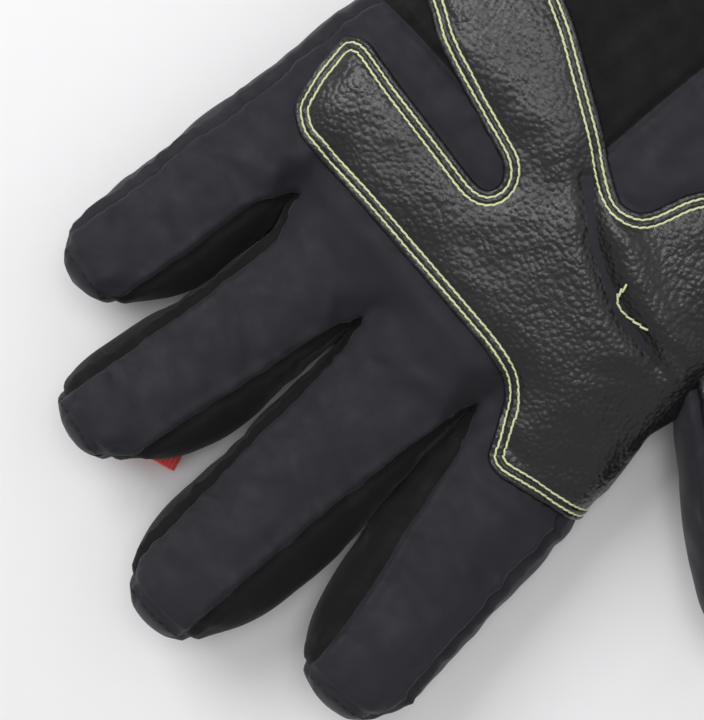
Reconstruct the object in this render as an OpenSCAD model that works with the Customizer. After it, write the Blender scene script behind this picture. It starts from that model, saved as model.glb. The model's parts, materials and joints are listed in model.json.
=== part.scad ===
// Left-hand insulated ski glove, lying on its back with the palm side up.
// Lengths in millimetres. Fingers point along +Y, the little finger is on the +X side,
// and the palm side faces +Z. The origin is under the middle of the glove, at table level.

/* [Fingers] */
// Free length of the index finger past its crotch
index_len = 66; // [62:1:70]
// Free length of the middle finger past its crotch
middle_len = 79; // [74:1:84]
// Free length of the ring finger past its crotch
ring_len = 66; // [62:1:70]
// Free length of the little finger past its crotch
little_len = 48; // [46:1:52]
// Thickness of a finger from its back to its palm side
finger_thick = 28; // [26:1:30]
// Height that the fingertips lift off the table in the relaxed curl
tip_lift = 9; // [8:1:12]

/* [Thumb] */
// Length of the thumb from its root inside the palm to its tip
thumb_len = 88; // [84:1:94]
// Angle between the thumb and the fingers, seen from above
thumb_turn = 54; // [52:1:58]
// Thickness of the thumb
thumb_thick = 29; // [27:1:31]

/* [Palm and cuff] */
// Thickness of the glove across the palm
palm_thick = 38; // [36:1:42]
// Distance from the finger line back to the wrist crease
wrist_y = 100; // [98:1:104]
// Distance from the finger line back to the cuff mouth
mouth_y = 190; // [180:1:200]
// Width of the cuff at its mouth
mouth_w = 120; // [114:1:126]
// Height of the cuff at its mouth
mouth_h = 46; // [42:1:50]

/* [Layers] */
// Thickness of the shell fabric with its seam allowance
shell_t = 1.2; // [1:0.1:1.4]
// Thickness of the leather palm patch
leather_t = 1.1; // [0.9:0.1:1.3]
// Thickness of the insulation bonded to the finger lining
finger_lining_t = 3.2; // [2.6:0.1:3.4]
// Thickness of the wadding in the palm
wadding_t = 2.5; // [2:0.1:3]

/* [Motion] */
// Largest bend of a finger at its knuckle
knuckle_bend = 50; // [30:1:52]
// Largest bend of a finger at its middle joint
middle_bend = 60; // [40:1:62]
// Largest bend of the cuff at the wrist
wrist_bend = 45; // [30:1:46]

/* [Wrist strap and loops] */
// Width of the wrist strap
strap_w = 22; // [18:1:26]
// Width of the ribbon of the finger hang loop
ribbon_w = 9.5; // [8:0.5:11]
// Length of the finger hang loop from its sewn line
ribbon_loop = 19.5; // [18:0.5:21]
// Width of the webbing of the cuff pull loop
webbing_w = 15; // [12:1:18]

/* [Hidden] */

// Colours of the materials
shell_colour = [0.17, 0.17, 0.21];
stretch_colour = [0.08, 0.08, 0.09];
leather_colour = [0.07, 0.07, 0.08];
thread_colour = [0.85, 0.87, 0.66];
lining_colour = [0.35, 0.35, 0.37];
wadding_colour = [0.9, 0.9, 0.88];
insert_colour = [0.75, 0.8, 0.82];
ribbon_colour = [0.85, 0.16, 0.13];
rubber_colour = [0.1, 0.1, 0.1];

// The glove is drawn with the middle finger's crotch at x = y = 0, then moved as a whole
// so that the origin lies under the middle of its outline.
frame_shift = [14.34, 56.41, 0];

// Layers, as depths in from the outer surface; the layer gap keeps the pieces apart
layer_gap = 0.15;
lining_in = shell_t + layer_gap;
lining_out = lining_in + finger_lining_t;
wadding_in = shell_t + layer_gap;
wadding_out = wadding_in + wadding_t;
insert_in = wadding_out + layer_gap;
insert_out = insert_in + 0.35;
fleece_in = insert_out + layer_gap;
fleece_out = fleece_in + 1.4;
leather_lift = 0.3;
leather_top = leather_lift + leather_t;

// Roundness of the cross-sections: 1 is an ellipse and smaller values are squarer
finger_round = 0.78;
palm_round = 0.62;
// How far the sections are cut off flat by the table
flat_cut = 1.2;
// Clearance at a joint on either side of its axis, and at a soft ring's ends
joint_gap = 0.8;
ring_gap = 0.3;
// Height of a finger's joint axes as a share of its thickness
axis_share = 0.58;
// Angles round a finger where the palm and back panels meet the sidewalls
seam_a = 50;
// Half of the angular gap left along a seam between two panels
seam_slit = 0.7;
// Share of the finger's radius where its end is closed
dome_end = 0.06;
// Gap in degrees between palm panels, and the angle of the palm's side seams
palm_seam_a = 27;
palm_slit = 0.15;
// The finger tubes start a little past the palm tube's front end
front_y = -8;
// Rearmost and foremost y of the thumb's opening in the side of the palm
thumb_hole = [-84, -34];
// y where the palm panel meets the stretch panel over the heel of the hand
heel_y = -45;

// A digit is [x, y, turn, length, half width at root, half width at middle, bow,
// knuckle, middle joint, thickness, lowest z, tip lift]
index = [-31.5, -3.3, 9.5, index_len, 15, 16.2, 1.2, 10, 33, finger_thick, 0, tip_lift];
middle = [0, 0, 2.7, middle_len, 14.1, 16, -1.6, 10, 40, finger_thick, 0, tip_lift];
ring = [29.2, 0, -6.7, ring_len, 13.5, 14.9, -3.2, 10, 33, finger_thick, 0, tip_lift];
little = [57, -4.2, -4.7, little_len, 13.1, 13.4, -1.4, 9, 25, finger_thick - 2, 0, tip_lift];
thumb = [-26, -68, thumb_turn, thumb_len, 17, 16.5, 0, 40, 62, thumb_thick, 5, 4];
fingers = [index, middle, ring, little];

// ---------- Shared geometry ----------

// A number's sign times a power of its size
function curve(v, p) = sign(v) * pow(abs(v), p);

// A value eased from 0 to 1
function ease(t) = let (c = min(1, max(0, t))) c * c * (3 - 2 * c);

// Half width, sideways bow, lift and end rounding of digit d at distance y from its root
function digit_half(d, y) = d[4] + (d[5] - d[4]) * ease(y / (0.55 * d[3]));
function digit_bow(d, y) = d[6] * sin(180 * min(1, max(0, y / d[3])));
function digit_lift(d, y) = d[10] + d[11] * pow(max(0, (y - d[8]) / (d[3] - d[8])), 1.6);
function digit_dome(d, y) =
    let (start = d[3] - 1.15 * d[5], t = min(1, max(0, (y - start) / (d[3] - start))))
    max(dome_end, pow(1 - pow(t, 2.3), 1 / 2.3));

// A point of a flattened round section, at angle a and depth o in from the surface
function section(cx, low, half_w, thick, a, o, p, dome = 1) =
    let (z = low + thick / 2 + (thick / 2 - o) * dome * curve(sin(a), p))
    [cx + (half_w - o) * dome * curve(cos(a), p), max(low + flat_cut + o, z) - flat_cut];

// Height of a digit's joint axes
function axis_z(d) = d[10] + d[9] * axis_share - flat_cut;

// Clearance before a joint at height z, wide enough for the bend on the palm side
function v_gap(d, z, bend) = joint_gap + max(0, z - axis_z(d)) * tan(bend / 2);

// A point of a digit's wall: s is the share of the way from y0 to y1, bend0 and bend1 the
// bends at its ends, or negative for a plain end
function digit_point(d, y0, bend0, y1, bend1, s, a, o) =
    let (
        y = y0 + s * (y1 - y0),
        q = section(digit_bow(d, y), digit_lift(d, y), digit_half(d, y), d[9], a, o,
            finger_round, digit_dome(d, y)),
        from = y0 + (bend0 < 0 ? 0 : v_gap(d, q[1], bend0)),
        to = y1 - (bend1 < 0 ? o : v_gap(d, q[1], bend1))
    )
    [q[0], from + s * (to - from), q[1]];

// The same for the soft ring that fills the space at a joint
function ring_point(d, y0, bend, s, a, o) =
    let (
        q = section(digit_bow(d, y0), digit_lift(d, y0), digit_half(d, y0), d[9], a, o, finger_round)
    )
    [q[0], y0 + (2 * s - 1) * (v_gap(d, q[1], bend) - ring_gap), q[1]];

// Outline of the palm and the cuff: the two sides and the thickness at y
side_pinky = [[-mouth_y, 9 + mouth_w / 2], [-125, 60], [-wrist_y, 58], [-70, 63], [-41, 66.7],
    [-17, 68.6], [front_y, 69.8]];
side_index = [[-mouth_y, 9 - mouth_w / 2], [-125, -42], [-wrist_y, -40], [-78, -42], [-50, -45],
    [-26, -44.5], [front_y, -47.5]];
thickness = [[-mouth_y, mouth_h], [-125, palm_thick + 1], [-70, palm_thick + 1],
    [-45, palm_thick - 1], [front_y, finger_thick]];
wrist_axis_z = 0.55 * palm_thick;
function wrist_gap(z) = 1 + max(0, z - wrist_axis_z) * tan(wrist_bend / 2);

function tube_section(y, a, o) =
    let (right = lookup(y, side_pinky), left = lookup(y, side_index))
    section((right + left) / 2, 0, (right - left) / 2, lookup(y, thickness), a, o, palm_round);

// Points of the palm's wall, the cuff's wall and the soft ring between them
function palm_point(s, a, o) =
    let (
        y = -wrist_y + s * (front_y + wrist_y),
        q = tube_section(y, a, o),
        from = -wrist_y + wrist_gap(q[1])
    )
    [q[0], from + s * (front_y - from), q[1]];
function cuff_point(s, a, o) =
    let (
        y = -mouth_y + s * (mouth_y - wrist_y),
        q = tube_section(y, a, o),
        to = -wrist_y - wrist_gap(q[1])
    )
    [q[0], -mouth_y + s * (to + mouth_y), q[1]];
function wrist_point(s, a, o) =
    let (q = tube_section(-wrist_y, a, o))
    [q[0], -wrist_y + (2 * s - 1) * (wrist_gap(q[1]) - ring_gap), q[1]];

// Share of the palm's or the cuff's length at y
function palm_share(y) = (y + wrist_y) / (front_y + wrist_y);
function cuff_share(y) = (y + mouth_y) / (mouth_y - wrist_y);

// A closed wall between the depths o0 and o1 of the surface that the function pt gives,
// from angle a0 to a1 and from share s0 to s1. A full turn makes a tube, and a capped one
// is closed at its far end.
module wall(pt, a0, a1, o0, o1, ns, na, s0 = 0, s1 = 1, capped = false) {
    full = a1 - a0 >= 360;
    row = full ? na : na + 1;
    total = (ns + 1) * row;
    grid = [for (o = [o0, o1], i = [0:ns], j = [0:row - 1])
        pt(s0 + (s1 - s0) * i / ns, a0 + (a1 - a0) * j / na, o)];
    function at(k, i, j) = k * total + i * row + j % row;
    skins = [for (i = [0:ns - 1], j = [0:na - 1])
        each [
            [at(0, i, j), at(0, i, j + 1), at(0, i + 1, j + 1)],
            [at(0, i, j), at(0, i + 1, j + 1), at(0, i + 1, j)],
            [at(1, i, j), at(1, i + 1, j + 1), at(1, i, j + 1)],
            [at(1, i, j), at(1, i + 1, j), at(1, i + 1, j + 1)]
        ]];
    near_end = [for (j = [0:na - 1])
        each [
            [at(0, 0, j), at(1, 0, j), at(1, 0, j + 1)],
            [at(0, 0, j), at(1, 0, j + 1), at(0, 0, j + 1)]
        ]];
    far_end = capped
        ? [[for (j = [0:row - 1]) at(0, ns, j)], [for (j = [row - 1:-1:0]) at(1, ns, j)]]
        : [for (j = [0:na - 1])
            each [
                [at(0, ns, j), at(0, ns, j + 1), at(1, ns, j + 1)],
                [at(0, ns, j), at(1, ns, j + 1), at(1, ns, j)]
            ]];
    sides = full ? [] : [for (i = [0:ns - 1])
        each [
            [at(0, i, 0), at(0, i + 1, 0), at(1, i + 1, 0)],
            [at(0, i, 0), at(1, i + 1, 0), at(1, i, 0)],
            [at(0, i, na), at(1, i, na), at(1, i + 1, na)],
            [at(0, i, na), at(1, i + 1, na), at(0, i + 1, na)]
        ]];
    polyhedron(grid, concat(skins, near_end, far_end, sides), convexity = 6);
}

// Moves a digit from its own frame to its place
module placed(d) translate([d[0], d[1], 0]) rotate([0, 0, d[2]]) children();

// The whole glove is drawn inside this
module at_frame() translate(frame_shift) children();

// ---------- Parts of a digit ----------

// Start of a finger's stub, where its corner just clears the palm's front end
function stub_start(d) = front_y - d[1] + d[4] * abs(sin(d[2])) + 0.15;

// The three stretches of a digit
function stub_of(d) = function (s, a, o)
    digit_point(d, stub_start(d), -1, d[7], knuckle_bend, s, a, o);
function base_of(d) = function (s, a, o)
    digit_point(d, d[7], knuckle_bend, d[8], middle_bend, s, a, o);
function tip_of(d) = function (s, a, o)
    digit_point(d, d[8], middle_bend, d[3], -1, s, a, o);

// Palm panel, back panel and the two sidewalls of a stretch, each over its own angles
module top_strip(pt, ns, o0 = 0, o1 = shell_t)
    wall(pt, seam_a + seam_slit, 180 - seam_a - seam_slit, o0, o1, ns, 6);
module back_strip(pt, ns)
    wall(pt, 180 + seam_a + seam_slit, 360 - seam_a - seam_slit, 0, shell_t, ns, 6);
module side_strips(pt, ns) {
    wall(pt, -seam_a + seam_slit, seam_a - seam_slit, 0, shell_t, ns, 6);
    wall(pt, 180 - seam_a + seam_slit, 180 + seam_a - seam_slit, 0, shell_t, ns, 6);
}

module base_shell(d) placed(d) {
    top_strip(base_of(d), 2);
    back_strip(base_of(d), 2);
}
module base_sidewalls(d) placed(d) side_strips(base_of(d), 2);
module base_lining(d) placed(d) wall(base_of(d), 0, 360, lining_in, lining_out, 2, 20);
module tip_shell(d) placed(d) {
    top_strip(tip_of(d), 7);
    back_strip(tip_of(d), 7);
}
module tip_sidewalls(d) placed(d) side_strips(tip_of(d), 7);
module tip_lining(d) placed(d)
    wall(tip_of(d), 0, 360, lining_in, lining_out, 7, 20, capped = true);
module flex_rings(d) placed(d) {
    wall(function (s, a, o) ring_point(d, d[7], knuckle_bend, s, a, o), 0, 360, 0.3, 1.3, 1, 20);
    wall(function (s, a, o) ring_point(d, d[8], middle_bend, s, a, o), 0, 360, 0.3, 1.3, 1, 20);
}

// ---------- Palm ----------

// Outline of the leather patch, seen on the palm: a lobe under the little finger, a band
// across to the index side, and an arm to the heel
module leather_outline()
    offset(r = 2) offset(delta = -2) offset(r = -2) offset(delta = 2)
    polygon([
        [61.5, -14], [-7, -12], [-14, -11.5], [-19, -7], [-60, -7], [-60, -64], [4, -56],
        [18, -62], [40, -71.5], [57.5, -51.5], [47, -46], [19, -40], [16.5, -35],
        [20, -32.5], [47, -34.5], [62, -36]
    ]);

module palm_shell_panel() color(shell_colour) at_frame() {
    wall(function (s, a, o) palm_point(s, a, o), palm_seam_a, 180 - palm_seam_a, 0, shell_t,
        3, 14, palm_share(heel_y), 1);
    for (d = fingers) placed(d) top_strip(stub_of(d), 1);
}

module heel_stretch_panel() color(stretch_colour) at_frame()
    wall(function (s, a, o) palm_point(s, a, o), palm_seam_a, 180 - palm_seam_a, 0, shell_t,
        4, 14, 0, palm_share(heel_y - 0.3));

// Strips of the palm tube's wall on its thumb side, behind and ahead of the thumb's opening
module thumb_side_strips(o0, o1) {
    wall(function (s, a, o) palm_point(s, a, o), 180 - palm_seam_a + palm_slit,
        180 + palm_seam_a - palm_slit, o0, o1, 2, 4, 0, palm_share(thumb_hole[0]));
    wall(function (s, a, o) palm_point(s, a, o), 180 - palm_seam_a + palm_slit,
        180 + palm_seam_a - palm_slit, o0, o1, 2, 4, palm_share(thumb_hole[1]), 1);
}

module back_shell_panel() color(shell_colour) at_frame() {
    wall(function (s, a, o) palm_point(s, a, o), 180 + palm_seam_a + palm_slit,
        360 + palm_seam_a - 2 * palm_slit, 0, shell_t, 6, 18);
    thumb_side_strips(0, shell_t);
    for (d = fingers) placed(d) back_strip(stub_of(d), 1);
}

module finger_gussets() color(stretch_colour) at_frame()
    for (d = fingers) placed(d) side_strips(stub_of(d), 1);

// A thin layer over the palm panels, between two heights above them, left open for the thumb
module palm_layer(low, high)
    difference() {
        union() {
            wall(function (s, a, o) palm_point(s, a, o), palm_seam_a, 180 - palm_seam_a,
                -high, -low, 3, 14, palm_share(heel_y), 0.997);
            wall(function (s, a, o) palm_point(s, a, o), palm_seam_a, 180 - palm_seam_a,
                -high, -low, 4, 14, 0.05, palm_share(heel_y));
        }
        hull() placed(thumb)
            wall(function (s, a, o) thumb_root(s, a, o), 0, 360, -0.3, shell_t, 3, 20);
    }

module palm_leather_patch() color(leather_colour) at_frame()
    intersection() {
        palm_layer(leather_lift, leather_top);
        linear_extrude(60) leather_outline();
    }

// Two rows of thread inside the patch's edge, drawn as one low ribbon each
module leather_stitching() color(thread_colour) at_frame()
    intersection() {
        palm_layer(leather_top + 0.05, leather_top + 0.45);
        linear_extrude(60) for (row = [1.6, 3.2]) difference() {
            offset(delta = -row) leather_outline();
            offset(delta = -row - 0.6) leather_outline();
        }
    }

// Insulation of one face of the palm, between two angles
module insulation(a0, a1)
    wall(function (s, a, o) palm_point(s, a, o), a0, a1, wadding_in, wadding_out, 5, 14);

module palm_insulation() color(wadding_colour) at_frame()
    insulation(palm_seam_a, 180 - palm_seam_a);

module back_insulation() color(wadding_colour) at_frame()
    insulation(180 + palm_seam_a, 360 - palm_seam_a);

// A tube in the palm that stays open on the thumb side
module palm_bag(o0, o1) {
    wall(function (s, a, o) palm_point(s, a, o), -180 + palm_seam_a + palm_slit,
        180 - palm_seam_a, o0, o1, 5, 28);
    thumb_side_strips(o0, o1);
}

module waterproof_insert() color(insert_colour) at_frame() palm_bag(insert_in, insert_out);

module palm_lining() color(lining_colour) at_frame() {
    palm_bag(fleece_in, fleece_out);
    for (d = fingers) placed(d) wall(stub_of(d), 0, 360, lining_in, lining_out, 1, 20);
}

// ---------- Thumb ----------

// The thumb's root, from the side of the palm to its first joint
function thumb_root(s, a, o) = digit_point(thumb, 6, -1, thumb[7], knuckle_bend, s, a, o);

module thumb_root_panel() color(leather_colour) at_frame()
    difference() {
        placed(thumb) wall(function (s, a, o) thumb_root(s, a, o), 0, 360, 0, shell_t, 3, 20);
        wall(function (s, a, o) palm_point(s, a, max(o, -0.5)), 0, 360, -0.5, fleece_out + 12,
            5, 28, -0.05, 1.05);
    }

module thumb_base_leather() color(leather_colour) at_frame()
    placed(thumb) wall(base_of(thumb), 20, 160, 0, shell_t, 2, 8);

module thumb_base_shell() color(shell_colour) at_frame()
    placed(thumb) wall(base_of(thumb), 161.5, 378.5, 0, shell_t, 2, 12);

module thumb_base_lining() color(lining_colour) at_frame() base_lining(thumb);

module thumb_tip_leather() color(leather_colour) at_frame()
    placed(thumb) wall(tip_of(thumb), 20, 160, 0, shell_t, 7, 8);

module thumb_tip_shell() color(shell_colour) at_frame()
    placed(thumb) wall(tip_of(thumb), 161.5, 378.5, 0, shell_t, 7, 12);

module thumb_tip_lining() color(lining_colour) at_frame() tip_lining(thumb);

module thumb_flex_rings() color(stretch_colour) at_frame() flex_rings(thumb);

// ---------- Fingers ----------

module index_base_shell() color(shell_colour) at_frame() base_shell(index);
module index_base_sidewalls() color(stretch_colour) at_frame() base_sidewalls(index);
module index_base_lining() color(lining_colour) at_frame() base_lining(index);
module index_tip_shell() color(shell_colour) at_frame() tip_shell(index);
module index_tip_sidewalls() color(stretch_colour) at_frame() tip_sidewalls(index);
module index_tip_lining() color(lining_colour) at_frame() tip_lining(index);
module index_flex_rings() color(stretch_colour) at_frame() flex_rings(index);

module middle_base_shell() color(shell_colour) at_frame() base_shell(middle);
module middle_base_sidewalls() color(stretch_colour) at_frame() base_sidewalls(middle);
module middle_base_lining() color(lining_colour) at_frame() base_lining(middle);
module middle_tip_shell() color(shell_colour) at_frame() tip_shell(middle);
module middle_tip_sidewalls() color(stretch_colour) at_frame() tip_sidewalls(middle);
module middle_tip_lining() color(lining_colour) at_frame() tip_lining(middle);
module middle_flex_rings() color(stretch_colour) at_frame() flex_rings(middle);

module ring_base_shell() color(shell_colour) at_frame() base_shell(ring);
module ring_base_sidewalls() color(stretch_colour) at_frame() base_sidewalls(ring);
module ring_base_lining() color(lining_colour) at_frame() base_lining(ring);
module ring_tip_shell() color(shell_colour) at_frame() tip_shell(ring);
module ring_tip_sidewalls() color(stretch_colour) at_frame() tip_sidewalls(ring);
module ring_tip_lining() color(lining_colour) at_frame() tip_lining(ring);
module ring_flex_rings() color(stretch_colour) at_frame() flex_rings(ring);

module little_base_shell() color(shell_colour) at_frame() base_shell(little);
module little_base_sidewalls() color(stretch_colour) at_frame() base_sidewalls(little);
module little_base_lining() color(lining_colour) at_frame() base_lining(little);
module little_tip_shell() color(shell_colour) at_frame() tip_shell(little);
module little_tip_sidewalls() color(stretch_colour) at_frame() tip_sidewalls(little);
module little_tip_lining() color(lining_colour) at_frame() tip_lining(little);
module little_flex_rings() color(stretch_colour) at_frame() flex_rings(little);

// Ribbon loop sewn under the ring fingertip; it lies flat and sticks out beside the finger
ribbon_t = 0.8;
ribbon_h = 2.8;
ribbon_y = 56;
module finger_hang_loop() color(ribbon_colour) at_frame() placed(ring)
    translate([1, ribbon_y + ribbon_w / 2, 0.2 + ribbon_h / 2]) rotate([90, 0, 0])
    linear_extrude(ribbon_w) difference() {
        hull() for (x = [ribbon_h / 2 - ribbon_loop, -ribbon_h / 2])
            translate([x, 0]) circle(d = ribbon_h, $fn = 48);
        hull() for (x = [ribbon_h / 2 - ribbon_loop, -ribbon_h / 2])
            translate([x, 0]) circle(d = ribbon_h - 2 * ribbon_t, $fn = 48);
    }

// ---------- Cuff ----------

module wrist_flex_ring() color(stretch_colour) at_frame()
    wall(function (s, a, o) wrist_point(s, a, o), 0, 360, 0.3, 1.5, 1, 36);

module cuff_shell() color(shell_colour) at_frame()
    wall(function (s, a, o) cuff_point(s, a, o), 0, 360, 0, shell_t, 4, 36);

module cuff_lining() color(lining_colour) at_frame()
    wall(function (s, a, o) cuff_point(s, a, o), 0, 360, 2.2, 4.4, 4, 36);

// Tape that binds the edges of the shell and the lining together round the cuff's mouth
binding_t = 1.8;
module cuff_binding() color(stretch_colour) at_frame()
    wall(function (s, a, o) cuff_point(s, a, o), 0, 360, 0, 4.4, 1, 36,
        cuff_share(-mouth_y - binding_t), cuff_share(-mouth_y - layer_gap));

// Elastic that gathers the back of the wrist, between the shell and the lining
module wrist_elastic() color(wadding_colour) at_frame()
    wall(function (s, a, o) cuff_point(s, a, o), 205, 335, shell_t + 0.15, 2.05, 1, 12,
        cuff_share(-128), cuff_share(-114));

// The strap crosses the palm side of the wrist between these shares of the cuff
strap_mid = -124;
strap_from = cuff_share(strap_mid - strap_w / 2);
strap_to = cuff_share(strap_mid + strap_w / 2);
anchor_a = 22;
strap_end_a = 146;
strap_low = 1.8;
strap_high = 3.2;
module on_cuff(a0, a1, low, high, na)
    wall(function (s, a, o) cuff_point(s, a, o), a0, a1, -high, -low, 1, na,
        strap_from, strap_to);

module strap_anchor() color(stretch_colour) at_frame()
    on_cuff(anchor_a - 14, anchor_a - 0.8, 0.1, strap_high - 0.1, 3);

module strap_loop_tape() color(stretch_colour) at_frame()
    on_cuff(84, 160, 0.1, 0.8, 10);

module wrist_strap() color(stretch_colour) at_frame()
    on_cuff(anchor_a + 1.6, strap_end_a, strap_low, strap_high, 18);

module strap_hook_tape() color(stretch_colour) at_frame()
    on_cuff(104, strap_end_a - 2, 1.15, strap_low - 0.05, 8);

module strap_pull_tab() color(rubber_colour) at_frame()
    on_cuff(strap_end_a + 0.3, strap_end_a + 14, 1.15, strap_high + 0.6, 4);

// Loop of webbing that stands on the palm side of the cuff near its mouth
pull_r = 15;
pull_t = 1.6;
pull_sink = 5;
pull_y = -170;
cuff_slope = atan((mouth_h - palm_thick - 1) / (mouth_y - 125));
module cuff_pull_loop() color(stretch_colour) at_frame()
    translate([9 - webbing_w / 2, pull_y, lookup(pull_y, thickness) - flat_cut])
    rotate([-cuff_slope, 0, 0]) rotate([90, 0, 90]) linear_extrude(webbing_w)
    difference() {
        intersection() {
            translate([0, -pull_sink]) circle(r = pull_r, $fn = 64);
            translate([-pull_r, layer_gap]) square([2 * pull_r, pull_r]);
        }
        translate([0, -pull_sink]) circle(r = pull_r - pull_t, $fn = 64);
    }

// Blank label sewn flat inside the cuff, under the palm side of the lining
module care_label() color(wadding_colour) at_frame()
    translate([9 - 15, -182, lookup(-182, thickness) - flat_cut - 7.2]) cube([30, 18, 0.4]);

palm_shell_panel();
back_shell_panel();
heel_stretch_panel();
finger_gussets();
palm_leather_patch();
leather_stitching();
palm_insulation();
back_insulation();
waterproof_insert();
palm_lining();
thumb_root_panel();
index_base_shell();
index_base_sidewalls();
index_base_lining();
index_tip_shell();
index_tip_sidewalls();
index_tip_lining();
index_flex_rings();
middle_base_shell();
middle_base_sidewalls();
middle_base_lining();
middle_tip_shell();
middle_tip_sidewalls();
middle_tip_lining();
middle_flex_rings();
ring_base_shell();
ring_base_sidewalls();
ring_base_lining();
ring_tip_shell();
ring_tip_sidewalls();
ring_tip_lining();
ring_flex_rings();
little_base_shell();
little_base_sidewalls();
little_base_lining();
little_tip_shell();
little_tip_sidewalls();
little_tip_lining();
little_flex_rings();
thumb_base_leather();
thumb_base_shell();
thumb_base_lining();
thumb_tip_leather();
thumb_tip_shell();
thumb_tip_lining();
thumb_flex_rings();
finger_hang_loop();
wrist_flex_ring();
cuff_shell();
cuff_lining();
cuff_binding();
wrist_elastic();
strap_anchor();
strap_loop_tape();
cuff_pull_loop();
care_label();
wrist_strap();
strap_hook_tape();
strap_pull_tab();
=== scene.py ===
"""Insulated left-hand ski glove, lying on its back with the palm side up.

Lengths are millimetres until a mesh is made, and then metres in the CAD frame.
"""
import json
import math

import bpy
import numpy as np
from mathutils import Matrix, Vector, bvhtree, geometry, kdtree, noise


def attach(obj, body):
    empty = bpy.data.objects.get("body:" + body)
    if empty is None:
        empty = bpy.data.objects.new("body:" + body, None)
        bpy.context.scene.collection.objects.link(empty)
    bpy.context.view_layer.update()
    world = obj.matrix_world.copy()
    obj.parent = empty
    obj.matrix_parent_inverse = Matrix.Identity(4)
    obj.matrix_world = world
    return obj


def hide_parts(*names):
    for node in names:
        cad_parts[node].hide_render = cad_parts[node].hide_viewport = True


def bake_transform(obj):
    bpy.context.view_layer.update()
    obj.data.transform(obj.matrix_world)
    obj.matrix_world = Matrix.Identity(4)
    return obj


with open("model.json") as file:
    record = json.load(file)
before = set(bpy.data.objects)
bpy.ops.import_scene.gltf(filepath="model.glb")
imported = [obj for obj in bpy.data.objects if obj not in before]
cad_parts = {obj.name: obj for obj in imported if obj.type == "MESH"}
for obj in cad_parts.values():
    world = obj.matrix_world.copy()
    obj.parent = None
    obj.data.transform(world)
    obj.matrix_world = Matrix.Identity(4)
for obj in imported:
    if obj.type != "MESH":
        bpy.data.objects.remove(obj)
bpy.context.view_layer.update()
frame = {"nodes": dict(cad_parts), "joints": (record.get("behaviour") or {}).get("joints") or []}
MM = 0.001
JOINTS = {j["name"]: j for j in frame["joints"]}


# ---------------------------------------------------------------- helpers

def ease(t):
    """0 to 1 with a soft start and end."""
    t = np.clip(t, 0, 1)
    return t * t * (3 - 2 * t)


def rail(points, smooth=5.0):
    """A smooth function through (distance, value) points, rounded over about smooth mm."""
    d, v = np.array(points, float).T
    grid = np.arange(d[0] - 20, d[-1] + 20, 0.5)
    raw = np.interp(grid, d, v)
    width = int(smooth / 0.5) * 2 + 1
    kernel = np.hanning(width + 2)[1:-1]
    padded = np.pad(raw, width // 2, mode="edge")
    soft = np.convolve(padded, kernel / kernel.sum(), mode="valid")
    return lambda at: np.interp(at, grid, soft)


def curve(v, p):
    """A number's sign times a power of its size."""
    return np.sign(v) * np.abs(v) ** p


def mesh_object(name, verts, faces, material=None, smooth=True):
    """A new object at the origin from millimetre points."""
    data = bpy.data.meshes.new(name)
    data.from_pydata([tuple(v) for v in np.asarray(verts, float) * MM], [], [tuple(f) for f in faces])
    data.validate()
    data.polygons.foreach_set("use_smooth", [smooth] * len(data.polygons))
    if material:
        data.materials.append(material)
    made = bpy.data.objects.new(name, data)
    bpy.context.scene.collection.objects.link(made)
    return made


def points_of(obj):
    """An object's own vertices in millimetres."""
    co = np.empty(len(obj.data.vertices) * 3)
    obj.data.vertices.foreach_get("co", co)
    return co.reshape(-1, 3) / MM


def set_points(obj, co):
    obj.data.vertices.foreach_set("co", (np.asarray(co) * MM).ravel())
    obj.data.update()


def normals_of(obj):
    n = np.empty(len(obj.data.vertices) * 3)
    obj.data.vertex_normals.foreach_get("vector", n)
    return n.reshape(-1, 3)


def apply_modifiers(obj):
    """Turns an object with modifiers into its plain evaluated mesh."""
    view = bpy.context.evaluated_depsgraph_get()
    view.update()
    made = bpy.data.meshes.new_from_object(obj.evaluated_get(view))
    obj.modifiers.clear()
    old = obj.data
    obj.data = made
    bpy.data.meshes.remove(old)
    made.name = obj.name
    return obj


# ---------------------------------------------------------------- digits and outline

# How far the rounded end of a digit reaches back, and where its tip seam lies from its end
BLUNT = 15.0
TIP_SEAM_IN = 3.4
# Squareness of a digit's section: 1 is an ellipse, less is boxier
DIGIT_ROUND = 0.78
# Section angle at which the underside starts, and the share of the width that a seam can reach
UNDER_ANGLE = 48
SEAM_REACH = 0.93
# The cloth sinks this far under its own weight
REST_SINK = 1.2


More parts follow.
